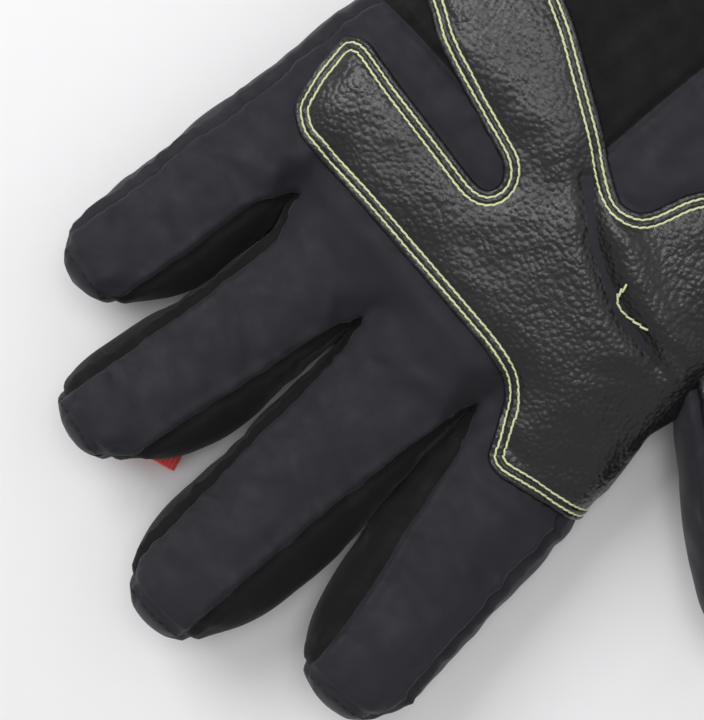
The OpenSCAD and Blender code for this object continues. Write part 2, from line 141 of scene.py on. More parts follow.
class Digit:
    """A finger or the thumb: its place comes from its joints, its rails are in its own frame."""

    def __init__(self, name, knuckle, length, thick, low, lift, left, right, seam_l, seam_r):
        hinge = JOINTS[name + "_knuckle"]
        bend = JOINTS[name + "_middle_joint"]
        self.name = name
        self.side = np.array(hinge["axis"][:2])
        self.along = np.array([-self.side[1], self.side[0]])
        place = np.array(hinge["pos_m"]) / MM
        self.root = place[:2] - self.along * knuckle
        self.hinge_z = place[2]
        self.knuckle = knuckle
        self.middle = knuckle + float(np.linalg.norm(np.array(bend["pos_m"])[:2] / MM - place[:2]))
        self.length, self.thick, self.low, self.lift = length, thick, low, lift
        self.left, self.right = rail(left), rail(right)
        self.seam_l, self.seam_r = rail(seam_l), rail(seam_r)
        self.blunt = BLUNT
        self.tip_seam = length - TIP_SEAM_IN

    def world(self, x, y, z):
        """Own coordinates to the glove's, in mm."""
        x, y, z = np.broadcast_arrays(x, y, z)
        flat = self.root + np.multiply.outer(x, self.side) + np.multiply.outer(y, self.along)
        return np.concatenate([flat, z[..., None]], -1)

    def own(self, p):
        """The glove's coordinates to the digit's own."""
        d = p[..., :2] - self.root
        return d @ self.side, d @ self.along

    def dome(self, y):
        """Share of the full section that is left near the tip."""
        t = np.clip((y - (self.length - self.blunt)) / self.blunt, 0, 1)
        return np.maximum(0.04, (1 - t ** 2.2) ** (1 / 2.2))

    def base(self, y):
        """Height of the underside."""
        past = np.maximum(0, (y - self.middle) / (self.length - self.middle))
        return self.low + self.lift * past ** 1.6

    def across(self, y):
        """Middle and half the width of the row at y."""
        cx, hw = (self.left(y) + self.right(y)) / 2, (self.right(y) - self.left(y)) / 2
        return cx * (1 - ease((y - self.length + 18) / 18) * 0.7), hw * self.dome(y)

    def seam_angle(self, share):
        """Section angle of a seam from its share of half the width."""
        share = np.clip(share, -SEAM_REACH, SEAM_REACH)
        return math.degrees(math.acos(curve(share, 1 / DIGIT_ROUND)))

    def angles(self, y, top, side, back):
        """Section angles of a row, from the left top seam over the palm side and round."""
        cx, hw = self.across(y)
        a_l, a_r = [self.seam_angle((seam(y) - cx) / hw) for seam in (self.seam_l, self.seam_r)]
        marks = [a_l, a_r, -UNDER_ANGLE, UNDER_ANGLE - 180, a_l - 360]
        counts = [top, side, back, side]
        return np.concatenate([np.linspace(a, b, n, endpoint=False)
                               for a, b, n in zip(marks, marks[1:], counts)])

    def section(self, y, angles):
        """x and z of a row's points."""
        cx, hw = self.across(y)
        a = np.radians(angles)
        low, half = self.base(y), self.thick / 2
        z = low + half + half * self.dome(y) * curve(np.sin(a), DIGIT_ROUND)
        return cx + hw * curve(np.cos(a), DIGIT_ROUND), np.maximum(low + REST_SINK, z) - REST_SINK


INDEX = Digit("index", 10, 66, 28, 0, 9,
              [(-3, -16.6), (15, -16.8), (36, -15.6), (50, -14.2), (60, -12.6)],
              [(-3, 15.6), (10, 17.4), (24, 18.6), (45, 16.2), (58, 13.6)],
              [(0, -13.6), (24, -12.6), (36, -12), (56, -11)],
              [(0, 14.6), (26, 11.6), (38, 9.7), (54, 8.9), (64, 9.4)])
MIDDLE = Digit("middle", 10, 79, 28, 0, 9,
               [(-3, -14.8), (20, -16.8), (43, -18), (60, -16.4), (72, -12.4)],
               [(0, 14.6), (25, 15), (60, 15), (70, 13.4)],
               [(0, -14.2), (14, -12.4), (27, -10.6), (43, -9.1), (58, -8.2), (76, -7.4)],
               [(0, 13.8), (42, 12.3), (60, 11.6), (76, 10.9)])
RING = Digit("ring", 10, 66, 28, 0, 9,
             [(0, -14.2), (20, -17.2), (41, -19), (50, -17), (58, -13)],
             [(-2, 14.2), (8, 12.2), (22, 11), (40, 12), (58, 11)],
             [(0, -13.2), (28, -12.8), (45, -12.1), (62, -12.1)],
             [(0, 12.2), (8, 9.4), (30, 8.2), (58, 7.4)])
LITTLE = Digit("little", 9, 48, 26, 0, 9,
               [(-1, -13.2), (12, -15.4), (24, -16.4), (32, -15), (40, -12)],
               [(-3, 13.2), (18, 12.8), (32, 11.7), (40, 10.4)],
               [(0, -11.2), (10, -9.9), (26, -10), (44, -9.7)],
               [(-3, 10.2), (18, 8.9), (44, 8)])
FINGERS = [INDEX, MIDDLE, RING, LITTLE]
HOME = MIDDLE.root

# Sides of the palm and the cuff, and the thickness there, by distance from the finger line
MOUTH_Y = -190
# Where the palm ends and the cuff starts, with the gathered wrist between them
PALM_END_Y = -87
CUFF_START_Y = -114
# The stretch heel lies between these distances, from this share of the palm's width on
HEEL_NEAR_Y = -45
HEEL_SHARE = 0.47
# The sides of the hand meet the outer fingers here
POST_Y = -3.0
PINKY_SIDE = rail([(-190, 69), (-125, 60), (-100, 57.5), (-70, 63), (-41, 66.7), (-17, 68.6), (0, 70.2)])
INDEX_SIDE = rail([(-190, -51), (-125, -42), (-100, -39.5), (-78, -42), (-50, -45), (-26, -43.6),
                   (-12, -46.6), (0, -48.6)])
THICKNESS = rail([(-190, 46), (-125, 39), (-100, 36.5), (-70, 39), (-45, 37), (-20, 32), (0, 28)], 8)
PALM_ROUND = 0.62
SIDE_SEAM = 26
CROTCHES = [(-14.9, -3.3), (14.9, 3.3), (43.6, -4.2)]
CROTCH_DIP = 6.5


def tube_x_z(y, angles, inset=0.0):
    """x and z of the palm and cuff tube's points at distance y, from HOME."""
    left, right, thick = INDEX_SIDE(y), PINKY_SIDE(y), THICKNESS(y)
    a, half = np.radians(angles), thick / 2
    z = half + (half - inset) * curve(np.sin(a), PALM_ROUND)
    x = (left + right) / 2 + ((right - left) / 2 - inset) * curve(np.cos(a), PALM_ROUND)
    return x, np.maximum(REST_SINK + inset, z) - REST_SINK


def palm_top(x, y):
    """Height of the palm side at x, y, without the dips between the fingers."""
    left, right, thick = INDEX_SIDE(y), PINKY_SIDE(y), THICKNESS(y)
    u = np.clip(np.abs((x - (left + right) / 2) / ((right - left) / 2)), 0, 0.999)
    return thick / 2 * (1 + (1 - u ** (2 / PALM_ROUND)) ** (PALM_ROUND / 2)) - REST_SINK


def crotch_dip(x, y):
    """Depth of the valleys that run back into the palm from the crotches."""
    return sum(CROTCH_DIP * np.exp(-((x - cx) / 3.6) ** 2 - ((y - cy) / 7.5) ** 2) for cx, cy in CROTCHES)


# ---------------------------------------------------------------- the sewn shell

TOP, SIDE, BACK = 14, 8, 14
LOOP = TOP + SIDE + BACK + SIDE
SHELL, STRETCH, REAR = "shell", "stretch", "rear"


class Skin:
    """One grid of quads for the whole outside, with a tag (zone, panel) on each face."""

    def __init__(self):
        self.verts, self.faces, self.tags = [], [], []

    def add(self, points):
        first = len(self.verts)
        self.verts.extend(np.asarray(points, float).reshape(-1, 3).tolist())
        return list(range(first, len(self.verts)))

    def at(self, ids):
        """Places of some vertices."""
        return np.array([self.verts[i] for i in ids])

    def close(self, row, digit, x, y):
        """A fan of triangles over the open end of a digit."""
        cap = self.add(digit.world(x, y, digit.base(y) + digit.thick / 2 - REST_SINK))[0]
        for i in range(LOOP):
            self.faces.append((row[i], row[(i + 1) % LOOP], cap))
            self.tags.append((digit.name + "_tip", REAR))

    def band(self, row_a, row_b, tags, closed=False):
        """Faces between two rows of vertex numbers; row_b lies further along the glove."""
        count = len(row_a) if closed else len(row_a) - 1
        for i in range(count):
            j = (i + 1) % len(row_a)
            self.faces.append((row_a[i], row_a[j], row_b[j], row_b[i]))
            self.tags.append(tags[i])


def digit_rows(digit, first=2.0):
    """Distances of a digit's rows, closer together near the tip."""
    straight = np.arange(first, digit.length - digit.blunt, 2.0)
    round_end = digit.length - digit.blunt + digit.blunt * np.sin(np.radians(np.linspace(0, 84, 12)))
    return np.concatenate([straight, round_end])


def digit_split(digit):
    """Where a finger's cloth changes from its first rigid part to its second."""
    return (digit.knuckle + 8 + digit.middle - 9.5) / 2


def side_posts(skin):
    """Vertical lines at the index side, the three crotches and the pinky side."""
    down = np.linspace(0, 1, SIDE + 1)

    def outer_post(sign):
        angles = (90 - sign * (90 - SIDE_SEAM)) - sign * (2 * SIDE_SEAM + 14) * down
        x, z = tube_x_z(POST_Y, angles)
        return skin.add(np.column_stack([HOME[0] + x, np.full(SIDE + 1, HOME[1] + POST_Y), z]))

    def crotch_post(cx, cy):
        top = palm_top(cx, cy) - CROTCH_DIP
        return skin.add(np.column_stack([np.full(SIDE + 1, HOME[0] + cx),
                                         np.full(SIDE + 1, HOME[1] + cy), top + (1.0 - top) * down]))

    return [outer_post(-1)] + [crotch_post(cx, cy) for cx, cy in CROTCHES] + [outer_post(1)]


def finger_roots(skin, posts):
    """The top and back rows of the finger line, and the closed root line of each finger."""
    inner = np.linspace(0, 1, TOP + 1)[1:-1]
    top_row, back_row, roots = [posts[0][0]], [posts[0][-1]], []

    def line_between(first, last):
        a, b = skin.at([first, last])
        return a + np.outer(inner, b - a)

    for left, right in zip(posts, posts[1:]):
        line = line_between(left[0], right[0])
        hx, hy = line[:, 0] - HOME[0], line[:, 1] - HOME[1]
        line[:, 2] = palm_top(hx, hy) - crotch_dip(hx, hy)
        top_ids = skin.add(line)
        line = line_between(left[-1], right[-1])
        line[:, 2] = np.minimum(line[:, 2], 1.0 * (1 - np.sin(np.pi * inner) ** 0.3))
        back_ids = skin.add(line)
        roots.append([left[0]] + top_ids + right + back_ids[::-1] + left[::-1][:-1])
        top_row += top_ids + [right[0]]
        back_row += back_ids + [right[-1]]
    return top_row, back_row, roots


def add_finger(skin, digit, root):
    """A finger's tube from its root line to its closed tip; returns its rows of vertex numbers."""
    start = skin.at(root)
    x0, y0 = digit.own(start)
    z0 = start[:, 2]
    rows = digit_rows(digit)
    side_l = REAR if digit is INDEX else STRETCH
    side_r = REAR if digit is LITTLE else STRETCH
    kept = [root]
    for y in rows:
        x, z = digit.section(y, digit.angles(y, TOP, SIDE, BACK))
        e = ease(y / 9.0)
        x, z = x0 + (x - x0) * e, z0 + (z - z0) * e
        lean = (y0 - y0.mean()) * (1 - ease(y / 25.0)) + 0 * x
        ids = skin.add(digit.world(x, y + lean, z))
        zone = digit.name + ("_base" if y <= digit_split(digit) else "_tip")
        panels = [SHELL] * TOP + [side_r] * SIDE + [REAR] * BACK + [side_l] * SIDE
        if y > digit.tip_seam:
            panels = [REAR] * LOOP
        skin.band(kept[-1], ids, [(zone, panel) for panel in panels], closed=True)
        kept.append(ids)
    y_end = rows[-1] + 0.25
    centre = 0.3 * (digit.left(y_end) + digit.right(y_end)) / 2
    skin.close(kept[-1], digit, centre, y_end)
    return kept


def palm_loop(y, share, back_share, y_front):
    """One loop of the palm, wrist or cuff: its top, pinky side, back and index side."""
    ends, _ = tube_x_z(y, np.array([180 - SIDE_SEAM, SIDE_SEAM]))
    x = ends[0] + share * (ends[1] - ends[0])
    yy = y + (y_front - POST_Y) * (1 - ease(-(y + 4) / 22.0))
    top = np.column_stack([x, yy, palm_top(x, yy) - crotch_dip(x, yy)])
    right_x, right_z = tube_x_z(y, np.linspace(SIDE_SEAM, -SIDE_SEAM - 14, SIDE + 1))
    left_x, left_z = tube_x_z(y, np.linspace(180 - SIDE_SEAM, 180 + SIDE_SEAM + 14, SIDE + 1))
    z_back = np.interp(back_share, [0, 0.02, 0.06, 0.94, 0.98, 1],
                       [left_z[-1], left_z[-1] * 0.5, 0, 0, right_z[-1] * 0.5, right_z[-1]])
    back = np.column_stack([left_x[-1] + back_share * (right_x[-1] - left_x[-1]),
                            np.full(len(share), y), z_back])
    right = np.column_stack([right_x, np.full(SIDE + 1, y), right_z])
    left = np.column_stack([left_x, np.full(SIDE + 1, y), left_z])
    right[0], left[0] = top[-1], top[0]
    loop = np.vstack([top, right[1:], back[::-1][1:], left[::-1][1:-1]])
    loop[:, :2] += HOME
    return loop


def palm_tags(y, share):
    """The zone and panel of each face in the loop at y."""
    zone = "palm" if y > PALM_END_Y else "wrist" if y > CUFF_START_Y else "cuff"
    top = []
    for part in share[:-1]:
        heel = CUFF_START_Y < y < HEEL_NEAR_Y and part > HEEL_SHARE
        top.append((zone, STRETCH if heel or zone == "wrist" else SHELL))
    rest = (zone, STRETCH if zone == "wrist" else REAR)
    return top + [rest] * (SIDE * 2 + len(share) - 1)


def build_skin():
    skin = Skin()
    posts = side_posts(skin)
    top_row, back_row, roots = finger_roots(skin, posts)
    skin.finger_ids = {d.name: add_finger(skin, d, root) for d, root in zip(FINGERS, roots)}
    front, rear = skin.at(top_row), skin.at(back_row)
    share = (front[:, 0] - front[0, 0]) / (front[-1, 0] - front[0, 0])
    back_share = (rear[:, 0] - rear[0, 0]) / np.ptp(rear[:, 0])
    previous = top_row + posts[4][1:] + back_row[::-1][1:] + posts[0][::-1][1:-1]
    skin.palm_rows = []
    for y in np.concatenate([np.arange(-6, -120, -2.0), np.arange(-120, MOUTH_Y - 0.1, -2.5)]):
        ids = skin.add(palm_loop(y, share, back_share, front[:, 1] - HOME[1]))
        # Seen from the wrist the rows run the other way round, so the band is given in reverse
        skin.band(ids, previous, palm_tags(y, share), closed=True)
        previous = ids
        skin.palm_rows.append((y, ids))
    skin.mouth = previous
    skin.width = len(top_row)
    skin.heel_column = int(np.argmax(share > HEEL_SHARE)) - 1
    return skin


# ---------------------------------------------------------------- thumb

THUMB = Digit("thumb", 40, 88, 29, 5, 4,
              [(-4, -23), (12, -22), (28, -18.6), (42, -17.2), (60, -16.8), (76, -14.6)],
              [(-4, 21), (12, 20), (28, 17.6), (42, 16.8), (60, 16.4), (76, 14.4)],
              [(0, -16), (40, -13.4), (80, -10.5)],
              [(0, 16), (40, 12.8), (80, 10.2)])
LEATHER = "leather"
# Where the thumb's cloth changes from its first rigid part to its second
THUMB_SPLIT = 51.0


def build_thumb():
    """The thumb's tube: its root starts inside the palm, and its palm side is leather."""
    tube = Skin()
    rows = digit_rows(THUMB, 0.0)
    kept = []
    for y in rows:
        x, z = THUMB.section(y, THUMB.angles(y, TOP, SIDE, BACK))
        z = z - 3.0 * (1 - ease(y / 26.0))
        ids = tube.add(THUMB.world(x, y + 0 * x, np.maximum(z, 0.4)))
        zone = "thumb_base" if y <= THUMB_SPLIT else "thumb_tip"
        top = REAR if y > THUMB.tip_seam else LEATHER
        if kept:
            tube.band(kept[-1], ids, [(zone, top)] * TOP + [(zone, REAR)] * (SIDE * 2 + BACK), closed=True)
        kept.append(ids)
    tube.close(kept[-1], THUMB, 0.0, rows[-1] + 0.25)
    tube.finger_ids = {"thumb": kept}
    return tube


# ---------------------------------------------------------------- inflating and detail

def seam_mask(faces, tags, count):
    """True for each vertex that touches two panels or more."""
    first, seam = {}, np.zeros(count, bool)
    for face, tag in zip(faces, tags):
        for v in face:
            if first.setdefault(v, tag[1]) != tag[1]:
                seam[v] = True
    return seam


def inflate(obj, pinned, limit=1.3, frames=26):
    """Fills the sewn shell with air pressure while its seams stay put, and bakes the shape."""
    before = points_of(obj)
    group = obj.vertex_groups.new(name="pinned")
    group.add([int(i) for i in np.flatnonzero(pinned)], 1.0, "REPLACE")
    cloth = obj.modifiers.new("padding", "CLOTH")
    s = cloth.settings
    s.quality = 6
    s.mass = 0.02
    s.tension_stiffness = s.compression_stiffness = 6
    s.shear_stiffness = 2
    s.bending_stiffness = 0.15
    s.tension_damping = s.compression_damping = s.shear_damping = 8
    s.air_damping = 4
    s.vertex_group_mass = "pinned"
    s.pin_stiffness = 1
    s.shrink_min = -0.018
    s.use_pressure = True
    s.uniform_pressure_force = 1.6
    s.effector_weights.gravity = 0
    cloth.collision_settings.use_collision = False
    cloth.point_cache.frame_start = 1
    cloth.point_cache.frame_end = frames
    scene = bpy.context.scene
    for frame_number in range(1, frames + 1):
        scene.frame_set(frame_number)
    apply_modifiers(obj)
    scene.frame_set(1)
    after = points_of(obj)
    move = after - before
    size = np.linalg.norm(move, axis=1, keepdims=True)
    print("INFLATE", obj.name, "median", float(np.median(size)), "max", float(size.max()))
    move *= np.minimum(1, limit / np.maximum(size, 1e-9))
    set_points(obj, before + np.where(pinned[:, None], 0, move))


def refine(obj):
    """One level of smooth subdivision, applied."""
    modifier = obj.modifiers.new("smooth", "SUBSURF")
    modifier.levels = modifier.render_levels = 1
    apply_modifiers(obj)


def fine_tags(faces, tags):
    """Each coarse face's tag, repeated for the smaller faces made from it."""
    return [tag for face, tag in zip(faces, tags) for _ in face]


def noise_at(points, size, seed=0.0):
    """Soft noise from -1 to 1 at each point; size is the spacing of its lumps in mm."""
    scale = np.broadcast_to(np.asarray(size, float), (3,))
    return np.array([noise.noise(Vector(p)) for p in points / scale + seed])


def faces_of(obj):
    return [tuple(p.vertices) for p in obj.data.polygons]


# Depth and reach of the dip in a seam, then height, distance and reach of the swell beside it
SEAM_DIP = (-1.0, 0.9)
SEAM_SWELL = (0.4, 2.0, 1.1)
# Height of the puckers along a seam, the spacing of their lumps and how far they reach
SEAM_PUCKER = (1.25, 2.2, 4.0)


def detail(obj, seam, soft, extra=0.0):
    """Sinks the seams, puckers the cloth along them and adds the slow unevenness of padding."""
    co, n = points_of(obj), normals_of(obj)
    tree = kdtree.KDTree(int(seam.sum()))
    for k, i in enumerate(np.flatnonzero(seam)):
        tree.insert(co[i], k)
    tree.balance()
    near = [tree.find(p) for p in co]
    d = np.array([h[2] for h in near])
    at = np.array([tuple(h[0]) for h in near])
    groove = SEAM_DIP[0] * np.exp(-(d / SEAM_DIP[1]) ** 2)
    groove += SEAM_SWELL[0] * np.exp(-((d - SEAM_SWELL[1]) / SEAM_SWELL[2]) ** 2)
    height, lump, reach = SEAM_PUCKER
    pucker = noise_at(at, lump) * np.exp(-(d / reach) ** 2) * (1 - np.exp(-(d / 0.8) ** 2)) * height
    slow = noise_at(co, 17, 7.3) * 0.4 + noise_at(co, 6.5, 3.1) * 0.06
    move = (groove + pucker + slow) * soft + extra
    under = co[:, 2] + n[:, 2] * move < 0.0
    moved = co + n * move[:, None]
    moved[:, 2] = np.where(under, np.maximum(moved[:, 2], 0.0), moved[:, 2])
    set_points(obj, moved)


def finger_creases(co, n):
    """Cross wrinkles on the palm side of each finger, where it bends."""
    out = np.zeros(len(co))
    for digit in FINGERS:
        x, y = digit.own(co)
        inside = (np.abs(x) < 19) & (y > 2) & (y < digit.length)
        if not inside.any():
            continue
        p = np.column_stack([x / 15 + digit.length, y / 3.8 + 0.12 * x, 0 * x])[inside]
        ripple = noise_at(p, 1.0, 2.7)
        middle = 0.42 * digit.length
        weight = np.exp(-((y[inside] - middle) / (0.2 * digit.length)) ** 2)
        weight += 0.35 * np.exp(-((y[inside] - 8) / 6) ** 2)
        out[inside] += 1.05 * ripple * weight * np.clip(n[inside, 2], 0, 1)
    return out


# ---------------------------------------------------------------- leather patch outline

# The sewn edge, from the thumb's mound up the arm, round the lobe and down the index side.
# The first number is the distance across the palm, measured round the side past its seam.
SEWN_EDGE = [(-31, -86), (-22, -80.5), (-14.5, -72), (-9.6, -63), (-8, -56.7), (-6.7, -53.6),
             (-2.4, -51.9), (4.3, -55.1), (7.7, -57.3), (18.2, -62.4), (30.6, -68.4), (39.9, -71.9),
             (50, -77), (57, -78), (61, -72), (64.4, -62), (64, -56), (57.6, -51.3), (47.4, -45.9),
             (32.7, -42.4), (19.1, -39.5), (16.6, -36.8), (16.9, -33.6), (19.7, -32.6),
             (46.6, -34.4), (57.5, -35.8), (61.6, -33.5), (60.4, -24), (57.6, -15.2), (52.3, -12.2),
             (18.3, -12.2), (-7.1, -12), (-14.3, -11.1), (-17.8, -8.6), (-24.4, 2.6), (-28, 3.4),
             (-48.6, -3), (-60, -6.5), (-63, -12), (-62.5, -24), (-60, -33)]
HIDDEN_EDGE = [(-63, -58), (-54, -84)]
FOLD = [(5.5, -50.5), (2.4, -47.9), (-5.3, -42.6), (-14.6, -39.0), (-21.8, -37.4), (-33, -37)]


def dense(points, step, closed=False, soft=2):
    """A path through the points with even steps and corners rounded by repeated averaging."""
    p = np.array(points, float)
    if closed:
        p = np.vstack([p, p[:1]])
    run = np.concatenate([[0], np.cumsum(np.linalg.norm(np.diff(p, axis=0), axis=1))])
    count = int(round(run[-1] / step))
    at = np.linspace(0, run[-1], count + 1)[:-1 if closed else None]
    q = np.column_stack([np.interp(at, run, p[:, k]) for k in range(p.shape[1])])
    for _ in range(soft):
        if closed:
            q = (np.roll(q, 1, 0) + 2 * q + np.roll(q, -1, 0)) / 4
        else:
            q[1:-1] = (q[:-2] + 2 * q[1:-1] + q[2:]) / 4
    return q


def to_edge(points, edge, closed=True):
    """Distance of each 2-D point to a path, and for a closed one whether it is inside."""
    a = edge
    b = np.roll(edge, -1, 0) if closed else edge[1:]
    a = a if closed else a[:-1]
    best, inside = np.full(len(points), 1e9), np.zeros(len(points), bool)
    for first in range(0, len(points), 4000):
        p = points[first:first + 4000, None, :]
        t = np.clip(((p - a) * (b - a)).sum(-1) / ((b - a) ** 2).sum(-1), 0, 1)
        gap = np.linalg.norm(p - a - t[..., None] * (b - a), axis=-1)
        best[first:first + 4000] = gap.min(1)
        if closed:
            y = p[..., 1]
            crosses = (a[:, 1] > y) != (b[:, 1] > y)
            with np.errstate(divide="ignore", invalid="ignore"):
                x_at = a[:, 0] + (y - a[:, 1]) / (b[:, 1] - a[:, 1]) * (b[:, 0] - a[:, 0])
            inside[first:first + 4000] = ((p[..., 0] < x_at) & crosses).sum(1) % 2 == 1
    return best, inside


PATCH_EDGE = dense(SEWN_EDGE + HIDDEN_EDGE, 0.8, closed=True, soft=5)
SEWN = dense(SEWN_EDGE, 0.8, soft=5)


def patch_flat(co):
    """Flat coordinates of shell points: across the palm and round its index side."""
    u, v = co[:, 0] - HOME[0], co[:, 1] - HOME[1]
    seam_x = tube_x_z(v, np.full(len(v), 180.0 - SIDE_SEAM))[0]
    past = u < seam_x + 0.5
    side_z = palm_top(seam_x, v)
    u = np.where(past, seam_x - np.maximum(0, side_z - co[:, 2]) - np.abs(u - seam_x) * 0.35, u)
    return np.column_stack([u, v])


class OnShell:
    """Finds points of the smooth shell from flat coordinates."""

    def __init__(self, obj):
        co, faces = points_of(obj), faces_of(obj)
        self.tree = bvhtree.BVHTree.FromPolygons([tuple(p) for p in co], faces)

    def __call__(self, flat):
        points, normals = [], []
        u, v = flat[:, 0], flat[:, 1]
        seam_x, _ = tube_x_z(v, np.full(len(v), 180.0 - SIDE_SEAM))
        steps = np.linspace(0, 70, 71)
        for k in range(len(flat)):
            if u[k] >= seam_x[k]:
                hit = self.tree.ray_cast((HOME[0] + u[k], HOME[1] + v[k], 90), (0, 0, -1))
            else:
                x, z = tube_x_z(np.full(71, v[k]), 180.0 - SIDE_SEAM + steps)
                run = np.concatenate([[0], np.cumsum(np.hypot(np.diff(x), np.diff(z)))])
                px = np.interp(seam_x[k] - u[k], run, x)
                pz = np.interp(seam_x[k] - u[k], run, z)
                hit = self.tree.find_nearest((HOME[0] + px, HOME[1] + v[k], pz))
            if hit[0] is None:
                z = palm_top(u[k], v[k])
                hit = self.tree.find_nearest((HOME[0] + u[k], HOME[1] + v[k], float(z)))
            points.append(tuple(hit[0]))
            normals.append(tuple(hit[1]))
        return np.array(points), np.array(normals)


def offset_path(path, gap, outline):
    """The path moved sideways into the patch, without the loops that tight corners make."""
    along = np.gradient(path, axis=0)
    along /= np.linalg.norm(along, axis=1, keepdims=True)
    side = np.column_stack([-along[:, 1], along[:, 0]])
    _, inside = to_edge(path + side * 0.4, outline)
    if inside.mean() < 0.5:
        side = -side
    moved = path + side * gap
    clear, inside = to_edge(moved, outline)
    moved = moved[(clear > gap - 0.06) & inside]
    return dense(moved, 0.7, soft=2)


# ---------------------------------------------------------------- materials

def group_socket(group, name, kind, direction, value=None):
    made = group.interface.new_socket(name=name, in_out=direction, socket_type=kind)
    if value is not None:
        made.default_value = value
    return made


def add_node(tree, kind, **values):
    """A new node; values are its settings, or inputs by name when they start with in_."""
    made = tree.nodes.new(kind)
    for key, value in values.items():
        if key.startswith("in_"):
            made.inputs[key[3:].replace("_", " ")].default_value = value
        else:
            setattr(made, key, value)
    return made


def weave_group():
    """Crossed yarns as a height from 0 to 1, from object coordinates and a yarn pitch in metres."""
    g = bpy.data.node_groups.new("weave", "ShaderNodeTree")
    group_socket(g, "Pitch", "NodeSocketFloat", "INPUT", 0.0005)
    group_socket(g, "Slant", "NodeSocketFloat", "INPUT", 0.6)
    group_socket(g, "Yarn", "NodeSocketFloat", "INPUT", 0.1)
    group_socket(g, "Height", "NodeSocketFloat", "OUTPUT")
    group_socket(g, "Mottle", "NodeSocketFloat", "OUTPUT")
    start, end = add_node(g, "NodeGroupInput"), add_node(g, "NodeGroupOutput")
    place = add_node(g, "ShaderNodeTexCoord")
    turn = add_node(g, "ShaderNodeVectorRotate", rotation_type="Z_AXIS")
    g.links.new(place.outputs["Object"], turn.inputs["Vector"])
    g.links.new(start.outputs["Slant"], turn.inputs["Angle"])
    scale = add_node(g, "ShaderNodeVectorMath", operation="DIVIDE")
    g.links.new(turn.outputs[0], scale.inputs[0])
    g.links.new(start.outputs["Pitch"], scale.inputs[1])
    parts = add_node(g, "ShaderNodeSeparateXYZ")
    g.links.new(scale.outputs[0], parts.inputs[0])
    waves = []
    for a, b in (("X", "Z"), ("Y", "Z")):
        total = add_node(g, "ShaderNodeMath", operation="ADD")
        g.links.new(parts.outputs[a], total.inputs[0])
        g.links.new(parts.outputs[b], total.inputs[1])
        turns = add_node(g, "ShaderNodeMath", operation="MULTIPLY")
        turns.inputs[1].default_value = 2 * math.pi
        g.links.new(total.outputs[0], turns.inputs[0])
        wave = add_node(g, "ShaderNodeMath", operation="SINE")
        g.links.new(turns.outputs[0], wave.inputs[0])
        waves.append(wave)
    product = add_node(g, "ShaderNodeMath", operation="MULTIPLY")
    g.links.new(waves[0].outputs[0], product.inputs[0])
    g.links.new(waves[1].outputs[0], product.inputs[1])
    fibre = add_node(g, "ShaderNodeTexNoise", in_Scale=1.4, in_Detail=3.0, in_Roughness=0.7)
    g.links.new(scale.outputs[0], fibre.inputs["Vector"])
    level = add_node(g, "ShaderNodeMath", operation="MULTIPLY_ADD")
    g.links.new(start.outputs["Yarn"], level.inputs[1])
    g.links.new(product.outputs[0], level.inputs[0])
    g.links.new(fibre.outputs["Fac"], level.inputs[2])
    g.links.new(level.outputs[0], end.inputs["Height"])
    mottle = add_node(g, "ShaderNodeTexNoise", in_Scale=160.0, in_Detail=4.0, in_Roughness=0.6)
    g.links.new(place.outputs["Object"], mottle.inputs["Vector"])
    g.links.new(mottle.outputs["Fac"], end.inputs["Mottle"])
    return g


def grain_group():
    """Leather pebbles and pores as a height, and a slow mottle."""
    g = bpy.data.node_groups.new("leather_grain", "ShaderNodeTree")
    group_socket(g, "Pebble", "NodeSocketFloat", "INPUT", 900.0)
    group_socket(g, "Height", "NodeSocketFloat", "OUTPUT")
    group_socket(g, "Mottle", "NodeSocketFloat", "OUTPUT")
    start, end = add_node(g, "NodeGroupInput"), add_node(g, "NodeGroupOutput")
    place = add_node(g, "ShaderNodeTexCoord")
    warp = add_node(g, "ShaderNodeTexNoise", in_Scale=260.0, in_Detail=2.0)
    g.links.new(place.outputs["Object"], warp.inputs["Vector"])
    shift = add_node(g, "ShaderNodeVectorMath", operation="MULTIPLY_ADD")
    shift.inputs[1].default_value = (0.0012, 0.0012, 0.0012)
    g.links.new(warp.outputs["Color"], shift.inputs[0])
    g.links.new(place.outputs["Object"], shift.inputs[2])
    cells = add_node(g, "ShaderNodeTexVoronoi", feature="SMOOTH_F1", in_Smoothness=0.45)
    g.links.new(shift.outputs[0], cells.inputs["Vector"])
    g.links.new(start.outputs["Pebble"], cells.inputs["Scale"])
    pores = add_node(g, "ShaderNodeTexNoise", in_Scale=2300.0, in_Detail=3.0)
    g.links.new(place.outputs["Object"], pores.inputs["Vector"])
    flip = add_node(g, "ShaderNodeMath", operation="SUBTRACT")
    flip.inputs[0].default_value = 1.0
    g.links.new(cells.outputs["Distance"], flip.inputs[1])
    small = add_node(g, "ShaderNodeMath", operation="MULTIPLY_ADD")
    small.inputs[1].default_value = 0.25
    g.links.new(pores.outputs["Fac"], small.inputs[0])
    g.links.new(flip.outputs[0], small.inputs[2])
    g.links.new(small.outputs[0], end.inputs["Height"])
    mottle = add_node(g, "ShaderNodeTexNoise", in_Scale=70.0, in_Detail=5.0, in_Roughness=0.62)
    g.links.new(place.outputs["Object"], mottle.inputs["Vector"])
    g.links.new(mottle.outputs["Fac"], end.inputs["Mottle"])
    return g


WEAVE, GRAIN = weave_group(), grain_group()


